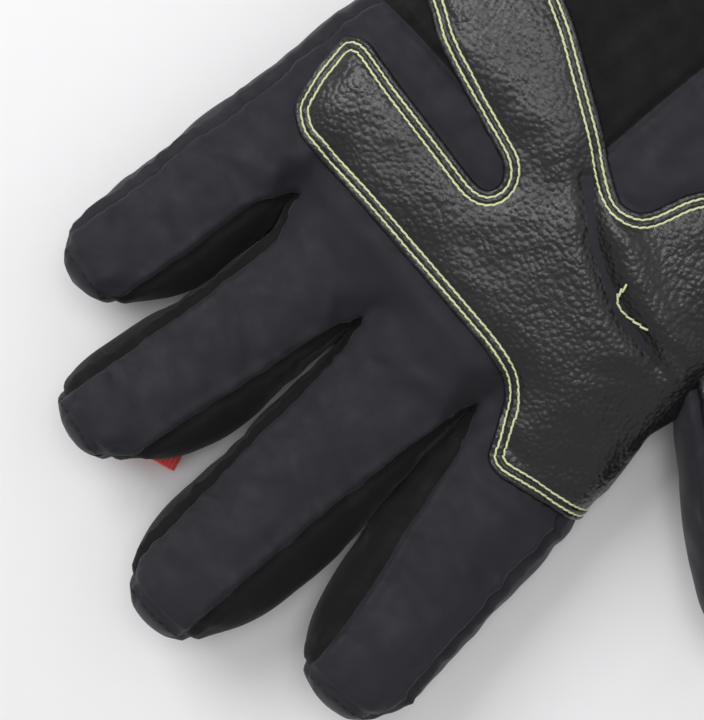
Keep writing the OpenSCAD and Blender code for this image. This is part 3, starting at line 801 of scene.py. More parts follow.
def finish_of(name, dark, light, rough, depth, pitch=0.0005, slant=0.6, grain=False, sheen=0.0,
              specular=0.4, strength=0.35, rough_swing=0.12, yarn=0.12):
    """A cloth or leather: two close colours, a roughness that varies, and a raised texture."""
    m = bpy.data.materials.new(name)
    m.use_nodes = True
    t = m.node_tree
    shader = t.nodes["Principled BSDF"]
    texture = add_node(t, "ShaderNodeGroup", node_tree=GRAIN if grain else WEAVE)
    if grain:
        texture.inputs["Pebble"].default_value = 1.0 / pitch
    else:
        texture.inputs["Pitch"].default_value = pitch
        texture.inputs["Slant"].default_value = slant
        texture.inputs["Yarn"].default_value = yarn
    mix = add_node(t, "ShaderNodeMix", data_type="RGBA")
    mix.inputs["A"].default_value = (*dark, 1)
    mix.inputs["B"].default_value = (*light, 1)
    blend = add_node(t, "ShaderNodeMath", operation="MULTIPLY")
    t.links.new(texture.outputs["Mottle"], blend.inputs[0])
    t.links.new(texture.outputs["Height"], blend.inputs[1])
    t.links.new(blend.outputs[0], mix.inputs["Factor"])
    t.links.new(mix.outputs["Result"], shader.inputs["Base Color"])
    span = add_node(t, "ShaderNodeMapRange")
    span.inputs["From Min"].default_value = 0.3
    span.inputs["From Max"].default_value = 0.7
    span.inputs["To Min"].default_value = rough - rough_swing
    span.inputs["To Max"].default_value = rough + rough_swing
    t.links.new(texture.outputs["Mottle"], span.inputs["Value"])
    t.links.new(span.outputs["Result"], shader.inputs["Roughness"])
    bump = add_node(t, "ShaderNodeBump", in_Strength=strength, in_Distance=depth)
    t.links.new(texture.outputs["Height"], bump.inputs["Height"])
    t.links.new(bump.outputs["Normal"], shader.inputs["Normal"])
    shader.inputs["Specular IOR Level"].default_value = specular
    shader.inputs["Sheen Weight"].default_value = sheen
    shader.inputs["Sheen Roughness"].default_value = 0.45
    return m


SHELL_CLOTH = finish_of("charcoal_softshell", (0.0105, 0.010, 0.0145), (0.019, 0.018, 0.0255), 0.74,
                        0.0001, 0.00036, 0.62, sheen=0.08, specular=0.3, strength=0.3, yarn=0.05)
STRETCH_CLOTH = finish_of("black_stretch_knit", (0.0035, 0.0035, 0.004), (0.008, 0.008, 0.009), 0.85,
                          0.0002, 0.0007, 0.2, sheen=0.06, specular=0.22)
GOAT_LEATHER = finish_of("black_goat_leather", (0.0035, 0.0038, 0.0045), (0.0075, 0.008, 0.009), 0.36,
                         0.00024, 0.00115, grain=True, specular=0.55, strength=0.95, rough_swing=0.07)
CREAM_THREAD = finish_of("cream_thread", (0.50, 0.54, 0.28), (0.78, 0.82, 0.52), 0.6, 0.0001,
                         0.00035, 0.9, specular=0.35)
BLACK_THREAD = finish_of("black_thread", (0.003, 0.003, 0.0035), (0.009, 0.009, 0.01), 0.75, 0.0001,
                         0.00035, 0.9, specular=0.2)
RED_RIBBON = finish_of("red_grosgrain", (0.85, 0.06, 0.06), (1.0, 0.22, 0.18), 0.6, 0.00015,
                       0.0005, 0.1, sheen=0.1, specular=0.4)
WEBBING = finish_of("black_webbing", (0.008, 0.008, 0.009), (0.02, 0.02, 0.022), 0.66, 0.0004,
                    0.0011, 0.75, specular=0.4, strength=0.8)
FLEECE = finish_of("brushed_fleece", (0.02, 0.02, 0.022), (0.06, 0.06, 0.065), 0.95, 0.0005,
                   0.0013, 0.3, sheen=0.3, specular=0.1, strength=0.7)
WADDING = finish_of("white_wadding", (0.6, 0.6, 0.58), (0.82, 0.82, 0.8), 0.95, 0.0006, 0.0021, 0.3,
                    specular=0.1)
MEMBRANE = finish_of("insert_film", (0.5, 0.55, 0.58), (0.66, 0.7, 0.73), 0.45, 0.0002, 0.003, 0.3,
                     specular=0.5)
ELASTIC = finish_of("ribbed_elastic", (0.5, 0.5, 0.48), (0.72, 0.72, 0.7), 0.75, 0.0004, 0.0012, 0)
HOOK_TAPE = finish_of("hook_and_loop", (0.006, 0.006, 0.007), (0.03, 0.03, 0.032), 0.9, 0.0008,
                      0.0009, 0.5, specular=0.25, strength=1.0)
TAB_RUBBER = finish_of("tab_rubber", (0.014, 0.014, 0.015), (0.024, 0.024, 0.025), 0.5, 0.0001,
                       0.0006, grain=True, specular=0.45)
LABEL_SATIN = finish_of("label_satin", (0.6, 0.6, 0.58), (0.78, 0.78, 0.76), 0.4, 0.0001, 0.0004, 0)

# ---------------------------------------------------------------- stitches and ribs

def stitch_tree():
    """Repeats one bent thread along the lines of a mesh, standing on its up attribute."""
    g = bpy.data.node_groups.new("sewn_line", "GeometryNodeTree")
    group_socket(g, "Lines", "NodeSocketGeometry", "INPUT")
    group_socket(g, "Pitch", "NodeSocketFloat", "INPUT", 0.0017)
    group_socket(g, "Length", "NodeSocketFloat", "INPUT", 0.0014)
    group_socket(g, "Thickness", "NodeSocketFloat", "INPUT", 0.0002)
    group_socket(g, "Arch", "NodeSocketFloat", "INPUT", 0.0003)
    group_socket(g, "Crosswise", "NodeSocketFloat", "INPUT", 0.0)
    group_socket(g, "Thread", "NodeSocketMaterial", "INPUT")
    group_socket(g, "Stitches", "NodeSocketGeometry", "OUTPUT")
    start, end = add_node(g, "NodeGroupInput"), add_node(g, "NodeGroupOutput")
    link = g.links.new
    lines = add_node(g, "GeometryNodeMeshToCurve")
    even = add_node(g, "GeometryNodeResampleCurve", mode="LENGTH")
    link(start.outputs["Lines"], lines.inputs[0])
    link(lines.outputs[0], even.inputs["Curve"])
    link(start.outputs["Pitch"], even.inputs["Length"])
    half = add_node(g, "ShaderNodeMath", operation="MULTIPLY")
    half.inputs[1].default_value = 0.5
    link(start.outputs["Length"], half.inputs[0])
    back = add_node(g, "ShaderNodeMath", operation="MULTIPLY")
    back.inputs[1].default_value = -0.5
    link(start.outputs["Length"], back.inputs[0])
    dip = add_node(g, "ShaderNodeMath", operation="MULTIPLY")
    dip.inputs[1].default_value = -0.4
    link(start.outputs["Arch"], dip.inputs[0])
    ends = []
    for x in (back, half):
        spot = add_node(g, "ShaderNodeCombineXYZ")
        link(x.outputs[0], spot.inputs["X"])
        link(dip.outputs[0], spot.inputs["Z"])
        ends.append(spot)
    top = add_node(g, "ShaderNodeCombineXYZ")
    link(start.outputs["Arch"], top.inputs["Z"])
    bow = add_node(g, "GeometryNodeCurveQuadraticBezier", in_Resolution=5)
    link(ends[0].outputs[0], bow.inputs["Start"])
    link(top.outputs[0], bow.inputs["Middle"])
    link(ends[1].outputs[0], bow.inputs["End"])
    ring = add_node(g, "GeometryNodeCurvePrimitiveCircle", in_Resolution=6)
    link(start.outputs["Thickness"], ring.inputs["Radius"])
    thread = add_node(g, "GeometryNodeCurveToMesh", in_Fill_Caps=True)
    link(bow.outputs[0], thread.inputs["Curve"])
    link(ring.outputs[0], thread.inputs["Profile Curve"])
    smooth = add_node(g, "GeometryNodeSetShadeSmooth")
    link(thread.outputs[0], smooth.inputs["Geometry"])
    up = add_node(g, "GeometryNodeInputNamedAttribute", data_type="FLOAT_VECTOR", in_Name="up")
    tangent = add_node(g, "GeometryNodeInputTangent")
    frame_turn = add_node(g, "FunctionNodeAxesToRotation", primary_axis="Z", secondary_axis="X")
    link(up.outputs["Attribute"], frame_turn.inputs["Primary Axis"])
    link(tangent.outputs[0], frame_turn.inputs["Secondary Axis"])
    cross = add_node(g, "FunctionNodeRotateRotation", rotation_space="LOCAL")
    spin = add_node(g, "ShaderNodeCombineXYZ")
    link(start.outputs["Crosswise"], spin.inputs["Z"])
    link(frame_turn.outputs[0], cross.inputs["Rotation"])
    link(spin.outputs[0], cross.inputs["Rotate By"])
    vary = add_node(g, "FunctionNodeRandomValue", data_type="FLOAT_VECTOR")
    vary.inputs[0].default_value = (0.93, 0.9, 0.85)
    vary.inputs[1].default_value = (1.04, 1.1, 1.15)
    vary.inputs["Seed"].default_value = 4
    repeat = add_node(g, "GeometryNodeInstanceOnPoints")
    link(even.outputs[0], repeat.inputs["Points"])
    link(smooth.outputs[0], repeat.inputs["Instance"])
    link(cross.outputs[0], repeat.inputs["Rotation"])
    link(vary.outputs[0], repeat.inputs["Scale"])
    real = add_node(g, "GeometryNodeRealizeInstances")
    paint = add_node(g, "GeometryNodeSetMaterial")
    link(repeat.outputs[0], real.inputs[0])
    link(real.outputs[0], paint.inputs["Geometry"])
    link(start.outputs["Thread"], paint.inputs["Material"])
    link(paint.outputs[0], end.inputs[0])
    return g


SEWN_LINE = stitch_tree()


def repeat_along(name, runs, material, pitch, length, thickness, arch, crosswise=0.0):
    """Stitches or ribs along runs of (points, normals) in mm, as one plain mesh."""
    verts, edges, ups = [], [], []
    for points, normals in runs:
        first = len(verts)
        verts += [tuple(p) for p in np.asarray(points) * MM]
        ups += [tuple(n) for n in normals]
        edges += [(i, i + 1) for i in range(first, len(verts) - 1)]
    data = bpy.data.meshes.new(name)
    data.from_pydata(verts, edges, [])
    data.attributes.new("up", "FLOAT_VECTOR", "POINT").data.foreach_set("vector", np.array(ups).ravel())
    obj = bpy.data.objects.new(name, data)
    bpy.context.scene.collection.objects.link(obj)
    modifier = obj.modifiers.new("sewn", "NODES")
    modifier.node_group = SEWN_LINE
    values = {"Pitch": pitch * MM, "Length": length * MM, "Thickness": thickness * MM,
              "Arch": arch * MM, "Crosswise": crosswise, "Thread": material}
    for item in SEWN_LINE.interface.items_tree:
        if item.in_out == "INPUT" and item.name in values:
            modifier[item.identifier] = values[item.name]
    obj.data.update()
    return apply_modifiers(obj)


# ---------------------------------------------------------------- flat pieces

def spaced(first, last, step, edge):
    """Even steps between two ends, with closer ones where a rounded edge needs them."""
    inner = np.linspace(first + edge, last - edge, max(2, int(round((last - first) / step))))
    return np.concatenate([[first, first + 0.13 * edge, first + 0.5 * edge], inner,
                           [last - 0.5 * edge, last - 0.13 * edge, last]])


def slab(name, place, us, vs, low, high, material, edge=0.5, waves=None):
    """A closed strap-like piece over the surface that place gives, with rounded edges."""
    u, v = np.meshgrid(us, vs, indexing="ij")
    p, n = place(u.ravel(), v.ravel())
    gap = np.minimum(np.minimum(u - us[0], us[-1] - u), np.minimum(v - vs[0], vs[-1] - v)).ravel()
    round_off = np.sqrt(np.clip(1 - (1 - np.clip(gap / edge, 0, 1)) ** 2, 0, 1))
    middle = (low + high) / 2
    lift = waves(u.ravel(), v.ravel()) if waves else 0.0
    upper = p + n * (middle + lift + (high - middle) * round_off)[:, None]
    lower = p + n * (middle + lift - (middle - low) * round_off)[:, None]
    rows, cols = u.shape
    ids = np.arange(rows * cols).reshape(rows, cols)
    border = np.zeros((rows, cols), bool)
    border[0], border[-1], border[:, 0], border[:, -1] = True, True, True, True
    below = np.where(border, ids, ids + rows * cols)
    faces = []
    for i in range(rows - 1):
        for j in range(cols - 1):
            faces.append((ids[i, j], ids[i + 1, j], ids[i + 1, j + 1], ids[i, j + 1]))
            faces.append((below[i, j], below[i, j + 1], below[i + 1, j + 1], below[i + 1, j]))
    used = sorted({int(v) for f in faces for v in f})
    index = {v: k for k, v in enumerate(used)}
    verts = np.vstack([upper, lower])[used]
    faces = [tuple(index[int(v)] for v in f) for f in faces]
    made = mesh_object(name, verts, faces, material)
    check = made.data.polygons[len(made.data.polygons) // 2 // 2 * 2]
    out = np.array(check.normal) @ n[rows * cols // 2]
    if out < 0:
        made.data.flip_normals()
    return made


def cuff_place(mid_y):
    """Places (distance round the cuff from its pinky side, y) on the smooth cuff."""
    fine = np.linspace(0, 180, 361)
    x, z = tube_x_z(np.full(361, mid_y), fine)
    run = np.concatenate([[0], np.cumsum(np.hypot(np.diff(x), np.diff(z)))])

    def point(u, v):
        a = np.interp(u, run, fine)
        x, z = tube_x_z(v, a)
        return np.column_stack([HOME[0] + x, HOME[1] + v, z])

    def place(u, v):
        p = point(u, v)
        du = point(u + 0.4, v) - point(u - 0.4, v)
        dv = point(u, v + 0.4) - point(u, v - 0.4)
        n = np.cross(dv, du)
        n /= np.linalg.norm(n, axis=1, keepdims=True)
        return p, np.where(n[:, 2:] < -0.2, -n, n)

    place.run = lambda angle: float(np.interp(angle, fine, run))
    return place


def path_place(path, width_dir):
    """Places (distance along a path, distance across it)."""
    path = np.asarray(path, float)
    run = np.concatenate([[0], np.cumsum(np.linalg.norm(np.diff(path, axis=0), axis=1))])
    width_dir = np.asarray(width_dir, float) / np.linalg.norm(width_dir)

    def at(u):
        return np.column_stack([np.interp(u, run, path[:, k]) for k in range(3)])

    def place(u, v):
        tangent = at(np.minimum(u + 0.3, run[-1])) - at(np.maximum(u - 0.3, 0))
        tangent /= np.linalg.norm(tangent, axis=1, keepdims=True)
        n = np.cross(width_dir, tangent)
        return at(u) + np.outer(v, width_dir), n / np.linalg.norm(n, axis=1, keepdims=True)

    place.length = run[-1]
    return place


# ---------------------------------------------------------------- what follows what

def spans(digit):
    """Where a digit's cloth starts and ends bending at its two joints, in its own distances."""
    reach = 8 if digit is THUMB else 7
    far = 9 if digit in (INDEX, MIDDLE, RING) else 8
    return (digit.knuckle - reach, digit.knuckle + reach), (digit.middle - far, digit.middle + far)


def follow(obj, zone):
    """Makes a piece of the palm, cuff, strap or hang loop ride on that body; every other piece only has
    its place baked into its mesh.
    """
    if zone in ("palm", "cuff", "strap", "hang_loop"):
        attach(obj, zone)
        return
    if zone == "wrist":
        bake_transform(obj)
        return
    name, part = zone.split("_")
    digit = {d.name: d for d in FINGERS + [THUMB]}[name]
    (k0, k1), (m0, m1) = spans(digit)
    first, y0, y1 = ("palm", k0, k1) if part == "base" else (name + "_base", m0, m1)
    ends = [tuple(digit.world(0.0, y, digit.hinge_z) * MM) for y in (y0, y1)]
    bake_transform(obj)


def finish_piece(obj, zone, replaced=()):
    follow(obj, zone)
    if replaced:
        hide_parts(*replaced)
    return obj


def cut_out(name, co, normals, faces, chosen, material):
    """A piece made of some of a mesh's faces, shaded as if it were still part of the whole."""
    used = sorted({v for i in chosen for v in faces[i]})
    index = {v: k for k, v in enumerate(used)}
    obj = mesh_object(name, co[used], [tuple(index[v] for v in faces[i]) for i in chosen], material)
    obj.data.normals_split_custom_set_from_vertices([tuple(normals[v]) for v in used])
    return obj


def inner_layer(name, co, normals, faces, chosen, near, far, material):
    """A thin closed layer under some of the faces, between two depths."""
    used = sorted({v for i in chosen for v in faces[i]})
    index = {v: k for k, v in enumerate(used)}
    flat = [tuple(index[v] for v in faces[i]) for i in chosen]
    count = len(used)
    p, n = co[used], normals[used]
    verts = np.vstack([p - n * near, p - n * far])
    verts[:, 2] = np.maximum(verts[:, 2], np.repeat([near * 0.9, far * 0.9], count))
    sides, directed = [], set()
    for face in flat:
        directed |= {(a, b) for a, b in zip(face, face[1:] + face[:1])}
    for a, b in sorted(directed):
        if (b, a) not in directed:
            sides.append((b, a, a + count, b + count))
    under = [tuple(v + count for v in reversed(face)) for face in flat]
    return mesh_object(name, verts, flat + under + sides, material)


# ---------------------------------------------------------------- shell and layers

def shell_pins(skin, co):
    """Points that keep their place: the seams, the underside, the strap's seat and the mouth."""
    y = co[:, 1] - HOME[1]
    pinned = seam_mask(skin.faces, skin.tags, len(co)) | (co[:, 2] < 2.5) | (y < -187)
    for digit in FINGERS:
        x, along = digit.own(co)
        pinned &= ~((along > digit.length - 9) & (np.abs(x) < 18) & (co[:, 2] > 2.5))
    return pinned | ((y < -108) & (y > -140))


def shell_calm(co, inside, gap):
    """Share of the puckers that a point keeps: few by the strap, under the patch and at the tips."""
    y = co[:, 1] - HOME[1]
    calm = 1 - 0.85 * ease((-108 - y) / 4) * ease((y + 140) / 4)
    calm *= np.where(inside, 0.15 + 0.85 * np.exp(-(gap / 1.0) ** 2), 1.0)
    for digit in FINGERS:
        x, along = digit.own(co)
        near = (np.abs(x) < 18) & (along > 0) & (along < digit.length + 5)
        calm *= np.where(near, 1 - 0.55 * ease((along - digit.length + 12) / 7), 1)
    return calm


def shell_relief(co, n, inside, facing, gap):
    """Wrinkles of the cloth, its dip under the leather and its swell beside the leather's edge."""
    y = co[:, 1] - HOME[1]
    pressed = np.where(inside, -0.35 * (1 - np.exp(-(gap / 0.8) ** 2)), 0)
    beside = facing & ~inside & (gap < 14)
    swell = np.where(beside, 0.55 * np.exp(-((gap - 3.6) / 2.2) ** 2), 0)
    swell -= np.where(beside, 0.45 * np.exp(-(gap / 1.1) ** 2), 0)
    heel = ease((-48 - y) / 6) * ease((y + 90) / 6) * (n[:, 2] > 0.2) * ~inside
    drawn = noise_at(np.column_stack([co[:, 0] / 4.5, co[:, 1] / 13, 0 * y]), 1.0, 9.1)
    gather = noise_at(np.column_stack([co[:, 0] / 3.2, co[:, 1] / 20, co[:, 2] / 6]), 1.0, 4.4)
    waist = ease((-88 - y) / 6) * ease((y + 114) / 5)
    return finger_creases(co, n) * ~inside + pressed + swell + 0.8 * drawn * heel + 1.0 * gather * waist


def shell_piece(zone, cloth):
    """Name of a piece of the shell, and the CAD nodes that it stands for."""
    if zone == "palm":
        name = {STRETCH: "heel_stretch", REAR: "back_shell", SHELL: "palm_shell"}[cloth]
        return name + "_skin", [name + "_panel"]
    if zone == "wrist":
        return "wrist_stretch_skin", ["wrist_flex_ring"]
    if zone == "cuff":
        return "cuff_shell_skin", ["cuff_shell"]
    if cloth == STRETCH:
        shared = ["finger_gussets"] if zone == "middle_base" else []
        return zone + "_gusset_skin", [zone + "_sidewalls"] + shared
    rings = [zone[:-5] + "_flex_rings"] if zone.endswith("_base") else []
    return zone + "_shell_skin", [zone + "_shell"] + rings


def outer_shell():
    skin = build_skin()
    obj = mesh_object("whole_shell", skin.verts, skin.faces)
    inflate(obj, shell_pins(skin, points_of(obj)))
    coarse = points_of(obj), normals_of(obj), skin.faces, skin.tags
    refine(obj)
    on_shell = OnShell(obj)
    faces, tags = faces_of(obj), fine_tags(skin.faces, skin.tags)
    co = points_of(obj)
    flat = patch_flat(co)
    gap, inside = to_edge(flat, PATCH_EDGE)
    facing = (co[:, 2] > 9) & (flat[:, 1] > -90) & (flat[:, 1] < 8) & (flat[:, 0] < 68)
    inside &= facing
    detail(obj, seam_mask(faces, tags, len(co)), shell_calm(co, inside, gap),
           shell_relief(co, normals_of(obj), inside, facing, gap))
    final, normals = points_of(obj), normals_of(obj)
    groups = {}
    for i, (zone, panel) in enumerate(tags):
        cloth = STRETCH if panel == STRETCH else REAR if zone == "palm" and panel == REAR else SHELL
        groups.setdefault((zone, cloth), []).append(i)
    for (zone, cloth), chosen in sorted(groups.items()):
        name, nodes = shell_piece(zone, cloth)
        material = STRETCH_CLOTH if cloth == STRETCH else SHELL_CLOTH
        piece = cut_out(name, final, normals, faces, chosen, material)
        finish_piece(piece, zone, nodes)
    bpy.data.objects.remove(obj)
    return skin, on_shell, final, normals, coarse


def under_layers(coarse):
    """Wadding, film and lining under the shell."""
    co, normals, faces, tags = coarse

    def pick(zone, *panels):
        return [i for i, t in enumerate(tags) if t[0] == zone and (not panels or t[1] in panels)]

    for digit in FINGERS:
        for part in ("_base", "_tip"):
            zone = digit.name + part
            piece = inner_layer(zone + "_lining_layer", co, normals, faces, pick(zone), 2.2, 4.4, FLEECE)
            finish_piece(piece, zone, [zone + "_lining"])
    rows = [("palm_wadding_layer", (SHELL, STRETCH), 1.7, 3.6, WADDING, "wadding", "palm_insulation"),
            ("back_wadding_layer", (REAR,), 1.7, 3.6, WADDING, "wadding", "back_insulation"),
            ("insert_film_layer", (), 3.9, 4.1, MEMBRANE, "membrane", "waterproof_insert"),
            ("palm_lining_layer", (), 4.4, 5.6, FLEECE, "fleece", "palm_lining")]
    for name, panels, near, far, material, slot, node in rows:
        piece = inner_layer(name, co, normals, faces, pick("palm", *panels), near, far, material)
        finish_piece(piece, "palm", [node])
    piece = inner_layer("wrist_lining_layer", co, normals, faces, pick("wrist"), 2.6, 4.4, FLEECE)
    finish_piece(piece, "wrist")
    piece = inner_layer("cuff_lining_layer", co, normals, faces, pick("cuff"), 2.4, 4.4, FLEECE)
    finish_piece(piece, "cuff", ["cuff_lining"])


def thumb_shell():
    tube = build_thumb()
    obj = mesh_object("whole_thumb", tube.verts, tube.faces)
    co = points_of(obj)
    pinned = seam_mask(tube.faces, tube.tags, len(co)) | (THUMB.own(co)[1] < 14)
    inflate(obj, pinned)
    coarse = points_of(obj), normals_of(obj)
    refine(obj)
    faces, tags = faces_of(obj), fine_tags(tube.faces, tube.tags)
    seam = seam_mask(faces, tags, len(obj.data.vertices))
    along = THUMB.own(points_of(obj))[1]
    detail(obj, seam, 1 - 0.55 * ease((along - THUMB.length + 12) / 7))
    final, normals = points_of(obj), normals_of(obj)
    for part in ("base", "tip"):
        zone = "thumb_" + part
        rows = [("leather", (LEATHER,), GOAT_LEATHER, "goat_leather",
                 [zone + "_leather"] + (["thumb_root_panel"] if part == "base" else [])),
                ("shell", (REAR,), SHELL_CLOTH, "shell_fabric",
                 [zone + "_shell"] + (["thumb_flex_rings"] if part == "base" else []))]
        for kind, panels, material, slot, nodes in rows:
            chosen = [i for i, t in enumerate(tags) if t[0] == zone and t[1] in panels]
            piece = cut_out(zone + "_" + kind + "_skin", final, normals, faces, chosen, material)
            finish_piece(piece, zone, nodes)
        chosen = [i for i, t in enumerate(tube.tags) if t[0] == zone]
        piece = inner_layer(zone + "_lining_layer", *coarse, tube.faces, chosen, 2.2, 4.4, FLEECE)
        finish_piece(piece, zone, [zone + "_lining"])
    bpy.data.objects.remove(obj)
    return tube, final, normals


# ---------------------------------------------------------------- leather patch

# The two rows of stitches, by distance from the patch's edge
STITCH_ROWS = (1.55, 3.15)
# The short hook of stitches that tacks the fold at the thumb's root
TACK = [(-15.7, -41.6), (-16.1, -39.4), (-17.9, -38.1), (-20.5, -38.1), (-24.5, -39.4)]


def patch_height(gap):
    """Height of the leather above the cloth by distance from its edge."""
    rolled = 1.15 * np.sqrt(np.clip(1 - (1 - np.clip(gap / 0.75, 0, 1)) ** 2, 0, 1)) - 0.25
    for row in STITCH_ROWS:
        rolled -= 0.42 * np.exp(-((gap - row) / 0.38) ** 2)
    rolled += 0.1 * np.exp(-((gap - 2.35) / 0.4) ** 2)
    return rolled + 0.35 * ease((gap - 3.6) / 4)


def crease(flat):
    """The fold at the thumb's root and the leather's slow wrinkles."""
    line = dense(FOLD, 0.8, soft=4)
    d, _ = to_edge(flat, line, closed=False)
    beside, _ = to_edge(flat, line + np.array([-2.6, -5.4]), closed=False)
    out = -2.3 * np.exp(-(d / 2.0) ** 2) + 1.7 * np.exp(-(beside / 3.6) ** 2)
    p = np.column_stack([flat, 0 * flat[:, 0]])
    out += 0.38 * noise_at(p, 11, 5.5)
    across = np.column_stack([(flat[:, 0] + flat[:, 1]) / 14, (flat[:, 0] - flat[:, 1]) / 4.5, 0 * d])
    out += 0.16 * noise_at(across, 1.0, 1.2)
    return out


def patch_points(edge):
    """Flat points of the patch: loops that follow its edge, and an even grid inside them."""
    loops = [edge]
    along = np.roll(edge, -1, 0) - np.roll(edge, 1, 0)
    along /= np.linalg.norm(along, axis=1, keepdims=True)
    side = np.column_stack([-along[:, 1], along[:, 0]])
    _, inside = to_edge((edge + side * 0.3)[:40], edge)
    side = side if inside.mean() > 0.5 else -side
    for gap in (0.12, 0.35, 0.75, 1.15, 1.55, 1.95, 2.35, 2.75, 3.15, 3.55, 4.2):
        moved = edge + side * gap
        clear, inside = to_edge(moved, edge)
        loops.append(moved[(clear > gap - 0.03) & inside])
    step = 1.25
    xs, ys = np.arange(-66, 68, step), np.arange(-90, 6, step * 0.866)
    grid = np.array([(x + (k % 2) * step / 2, y) for k, y in enumerate(ys) for x in xs])
    clear, inside = to_edge(grid, edge)
    return np.vstack(loops + [grid[inside & (clear > 4.7)]])


def leather_patch(on_shell):
    flat = patch_points(PATCH_EDGE)
    count = len(PATCH_EDGE)
    ring = [(i, (i + 1) % count) for i in range(count)]
    out = geometry.delaunay_2d_cdt([Vector(p) for p in flat], ring, [list(range(count))], 1, 1e-4)
    flat = np.array([tuple(v) for v in out[0]])
    gap, _ = to_edge(flat, PATCH_EDGE)
    p, n = on_shell(flat)
    height = patch_height(gap) + crease(flat) * ease(gap / 6)
    patch = mesh_object("leather_palm_patch", p + n * height[:, None], [tuple(f) for f in out[2]],
                        GOAT_LEATHER)
    if np.mean([f.normal.z for f in patch.data.polygons]) < 0:
        patch.data.flip_normals()
    patch.data.update()
    smooth = patch.modifiers.new("relax", "SMOOTH")
    smooth.factor = 0.5
    smooth.iterations = 1
    apply_modifiers(patch)
    finish_piece(patch, "index_base", ["palm_leather_patch"])


def patch_stitches(on_shell):
    """Both rows of pale thread inside the leather's edge, and the tack at the thumb's root."""
    runs = []
    for row in STITCH_ROWS:
        line = offset_path(SEWN, row, PATCH_EDGE)
        lift = patch_height(np.array([row]))[0] + crease(line) * ease(row / 6)
        q, m = on_shell(line)
        runs.append((q + m * (lift + 0.1)[:, None], m))
    tack = dense(TACK, 0.7, soft=4)
    q, m = on_shell(tack)
    runs.append((q + m * (patch_height(np.full(len(q), 9.0)) + crease(tack) + 0.65)[:, None], m))
    thread = repeat_along("cream_double_stitching", runs, CREAM_THREAD, 1.66, 1.78, 0.25, 0.34,
                          crosswise=0.13)
    finish_piece(thread, "index_base", ["leather_stitching"])


# ---------------------------------------------------------------- seam stitches

def seam_stitches(skin, final, normals, thumb):
    """Dark thread in the seams, in one piece for each place that moves on its own."""
    lines = {}

    def add(zone, points, n):
        if len(points) > 2:
            lines.setdefault(zone, []).append((points - n * 0.12, n))

    def digit_lines(digit, loops, co, n, columns, split):
        names = [digit.name + ("_base" if y <= split else "_tip") for y in loops[0]]
        last = int(np.argmax(np.array(loops[0]) > digit.tip_seam))
        for column in columns:
            ids = [row[column] for row in loops[1][:last + 1]]
            cut = names[:last + 1].count(digit.name + "_base")
            add(digit.name + "_base", co[ids[:cut]], n[ids[:cut]])
            add(digit.name + "_tip", co[ids[max(0, cut - 1):]], n[ids[max(0, cut - 1):]])
        ids = loops[1][last][:TOP + 1]
        add(digit.name + "_tip", co[ids], n[ids])

    for digit in FINGERS:
        rows = [0.0] + list(digit_rows(digit))
        digit_lines(digit, (rows, skin.finger_ids[digit.name]), final, normals,
                    (0, TOP, TOP + SIDE, TOP + SIDE + BACK), digit_split(digit))
    tube, co, n = thumb
    ids = tube.finger_ids["thumb"]
    digit_lines(THUMB, (list(digit_rows(THUMB, 0.0)[8:]), ids[8:]), co, n, (0, TOP), THUMB_SPLIT)
    palm = [ids for y, ids in skin.palm_rows if y > -88]
    for column in (0, skin.width - 1):
        add("palm", final[[r[column] for r in palm]], normals[[r[column] for r in palm]])
    heel = [ids for y, ids in skin.palm_rows if -88 < y < -44]
    column = [r[skin.heel_column + 1] for r in heel]
    add("palm", final[column], normals[column])
    row = heel[0][skin.heel_column + 1:skin.width]
    add("palm", final[row], normals[row])
    for y, ids in skin.palm_rows:
        if abs(y + 86) < 0.1 or abs(y + 114) < 0.1:
            ring = ids + ids[:1]
            add("palm" if y > -100 else "cuff", final[ring], normals[ring])
    cuff = [ids for y, ids in skin.palm_rows if y < -113]
    for column in (0, skin.width - 1):
        add("cuff", final[[r[column] for r in cuff]], normals[[r[column] for r in cuff]])
    for zone, runs in sorted(lines.items()):
        piece = repeat_along(zone + "_seam_stitches", runs, BLACK_THREAD, 2.3, 1.6, 0.16, 0.16)
        finish_piece(piece, zone)


# ---------------------------------------------------------------- cuff pieces

def cuff_binding(skin, final):
    """Tape folded over the edge of the shell and the lining round the mouth."""
    loop = final[skin.mouth]
    centre = loop.mean(0)
    along = np.roll(loop, -1, 0) - np.roll(loop, 1, 0)
    out = np.column_stack([along[:, 2], 0 * along[:, 0], -along[:, 0]])
    out /= np.linalg.norm(out, axis=1, keepdims=True)
    if ((loop - centre) * out).sum() < 0:
        out = -out
    for _ in range(4):
        out = (np.roll(out, 1, 0) + 2 * out + np.roll(out, -1, 0)) / 4
    out /= np.linalg.norm(out, axis=1, keepdims=True)
    profile = [(0.15, 7), (0.6, 6.6), (0.75, 3), (0.7, 0.4), (0.2, -1.2), (-1.0, -2.1), (-2.4, -2.3),
               (-3.8, -2.0), (-4.9, -1.0), (-5.3, 0.6), (-5.3, 5), (-5.1, 6.6), (-4.5, 7),
               (-4.2, 5), (-2.4, 1), (-0.4, 5)]
    rings = [loop + out * a + np.array([0, b, 0]) for a, b in profile]
    verts = np.vstack(rings)
    verts[:, 2] = np.maximum(verts[:, 2], 0.02)
    n, k = len(loop), len(profile)
    faces = [(i * n + j, i * n + (j + 1) % n, ((i + 1) % k) * n + (j + 1) % n, ((i + 1) % k) * n + j)
             for i in range(k) for j in range(n)]
    piece = mesh_object("cuff_edge_binding", verts, faces, WEBBING)
    middle = piece.data.polygons[n + n // 4]
    if (np.array(middle.normal) @ out[n // 4]) < 0:
        piece.data.flip_normals()
    finish_piece(piece, "cuff", ["cuff_binding"])
    line = loop + out * 0.78 + np.array([0, 5.4, 0])
    thread = repeat_along("binding_stitches", [(np.vstack([line, line[:1]]), np.vstack([out, out[:1]]))],
                          BLACK_THREAD, 2.6, 2.0, 0.2, 0.25)
    finish_piece(thread, "cuff")


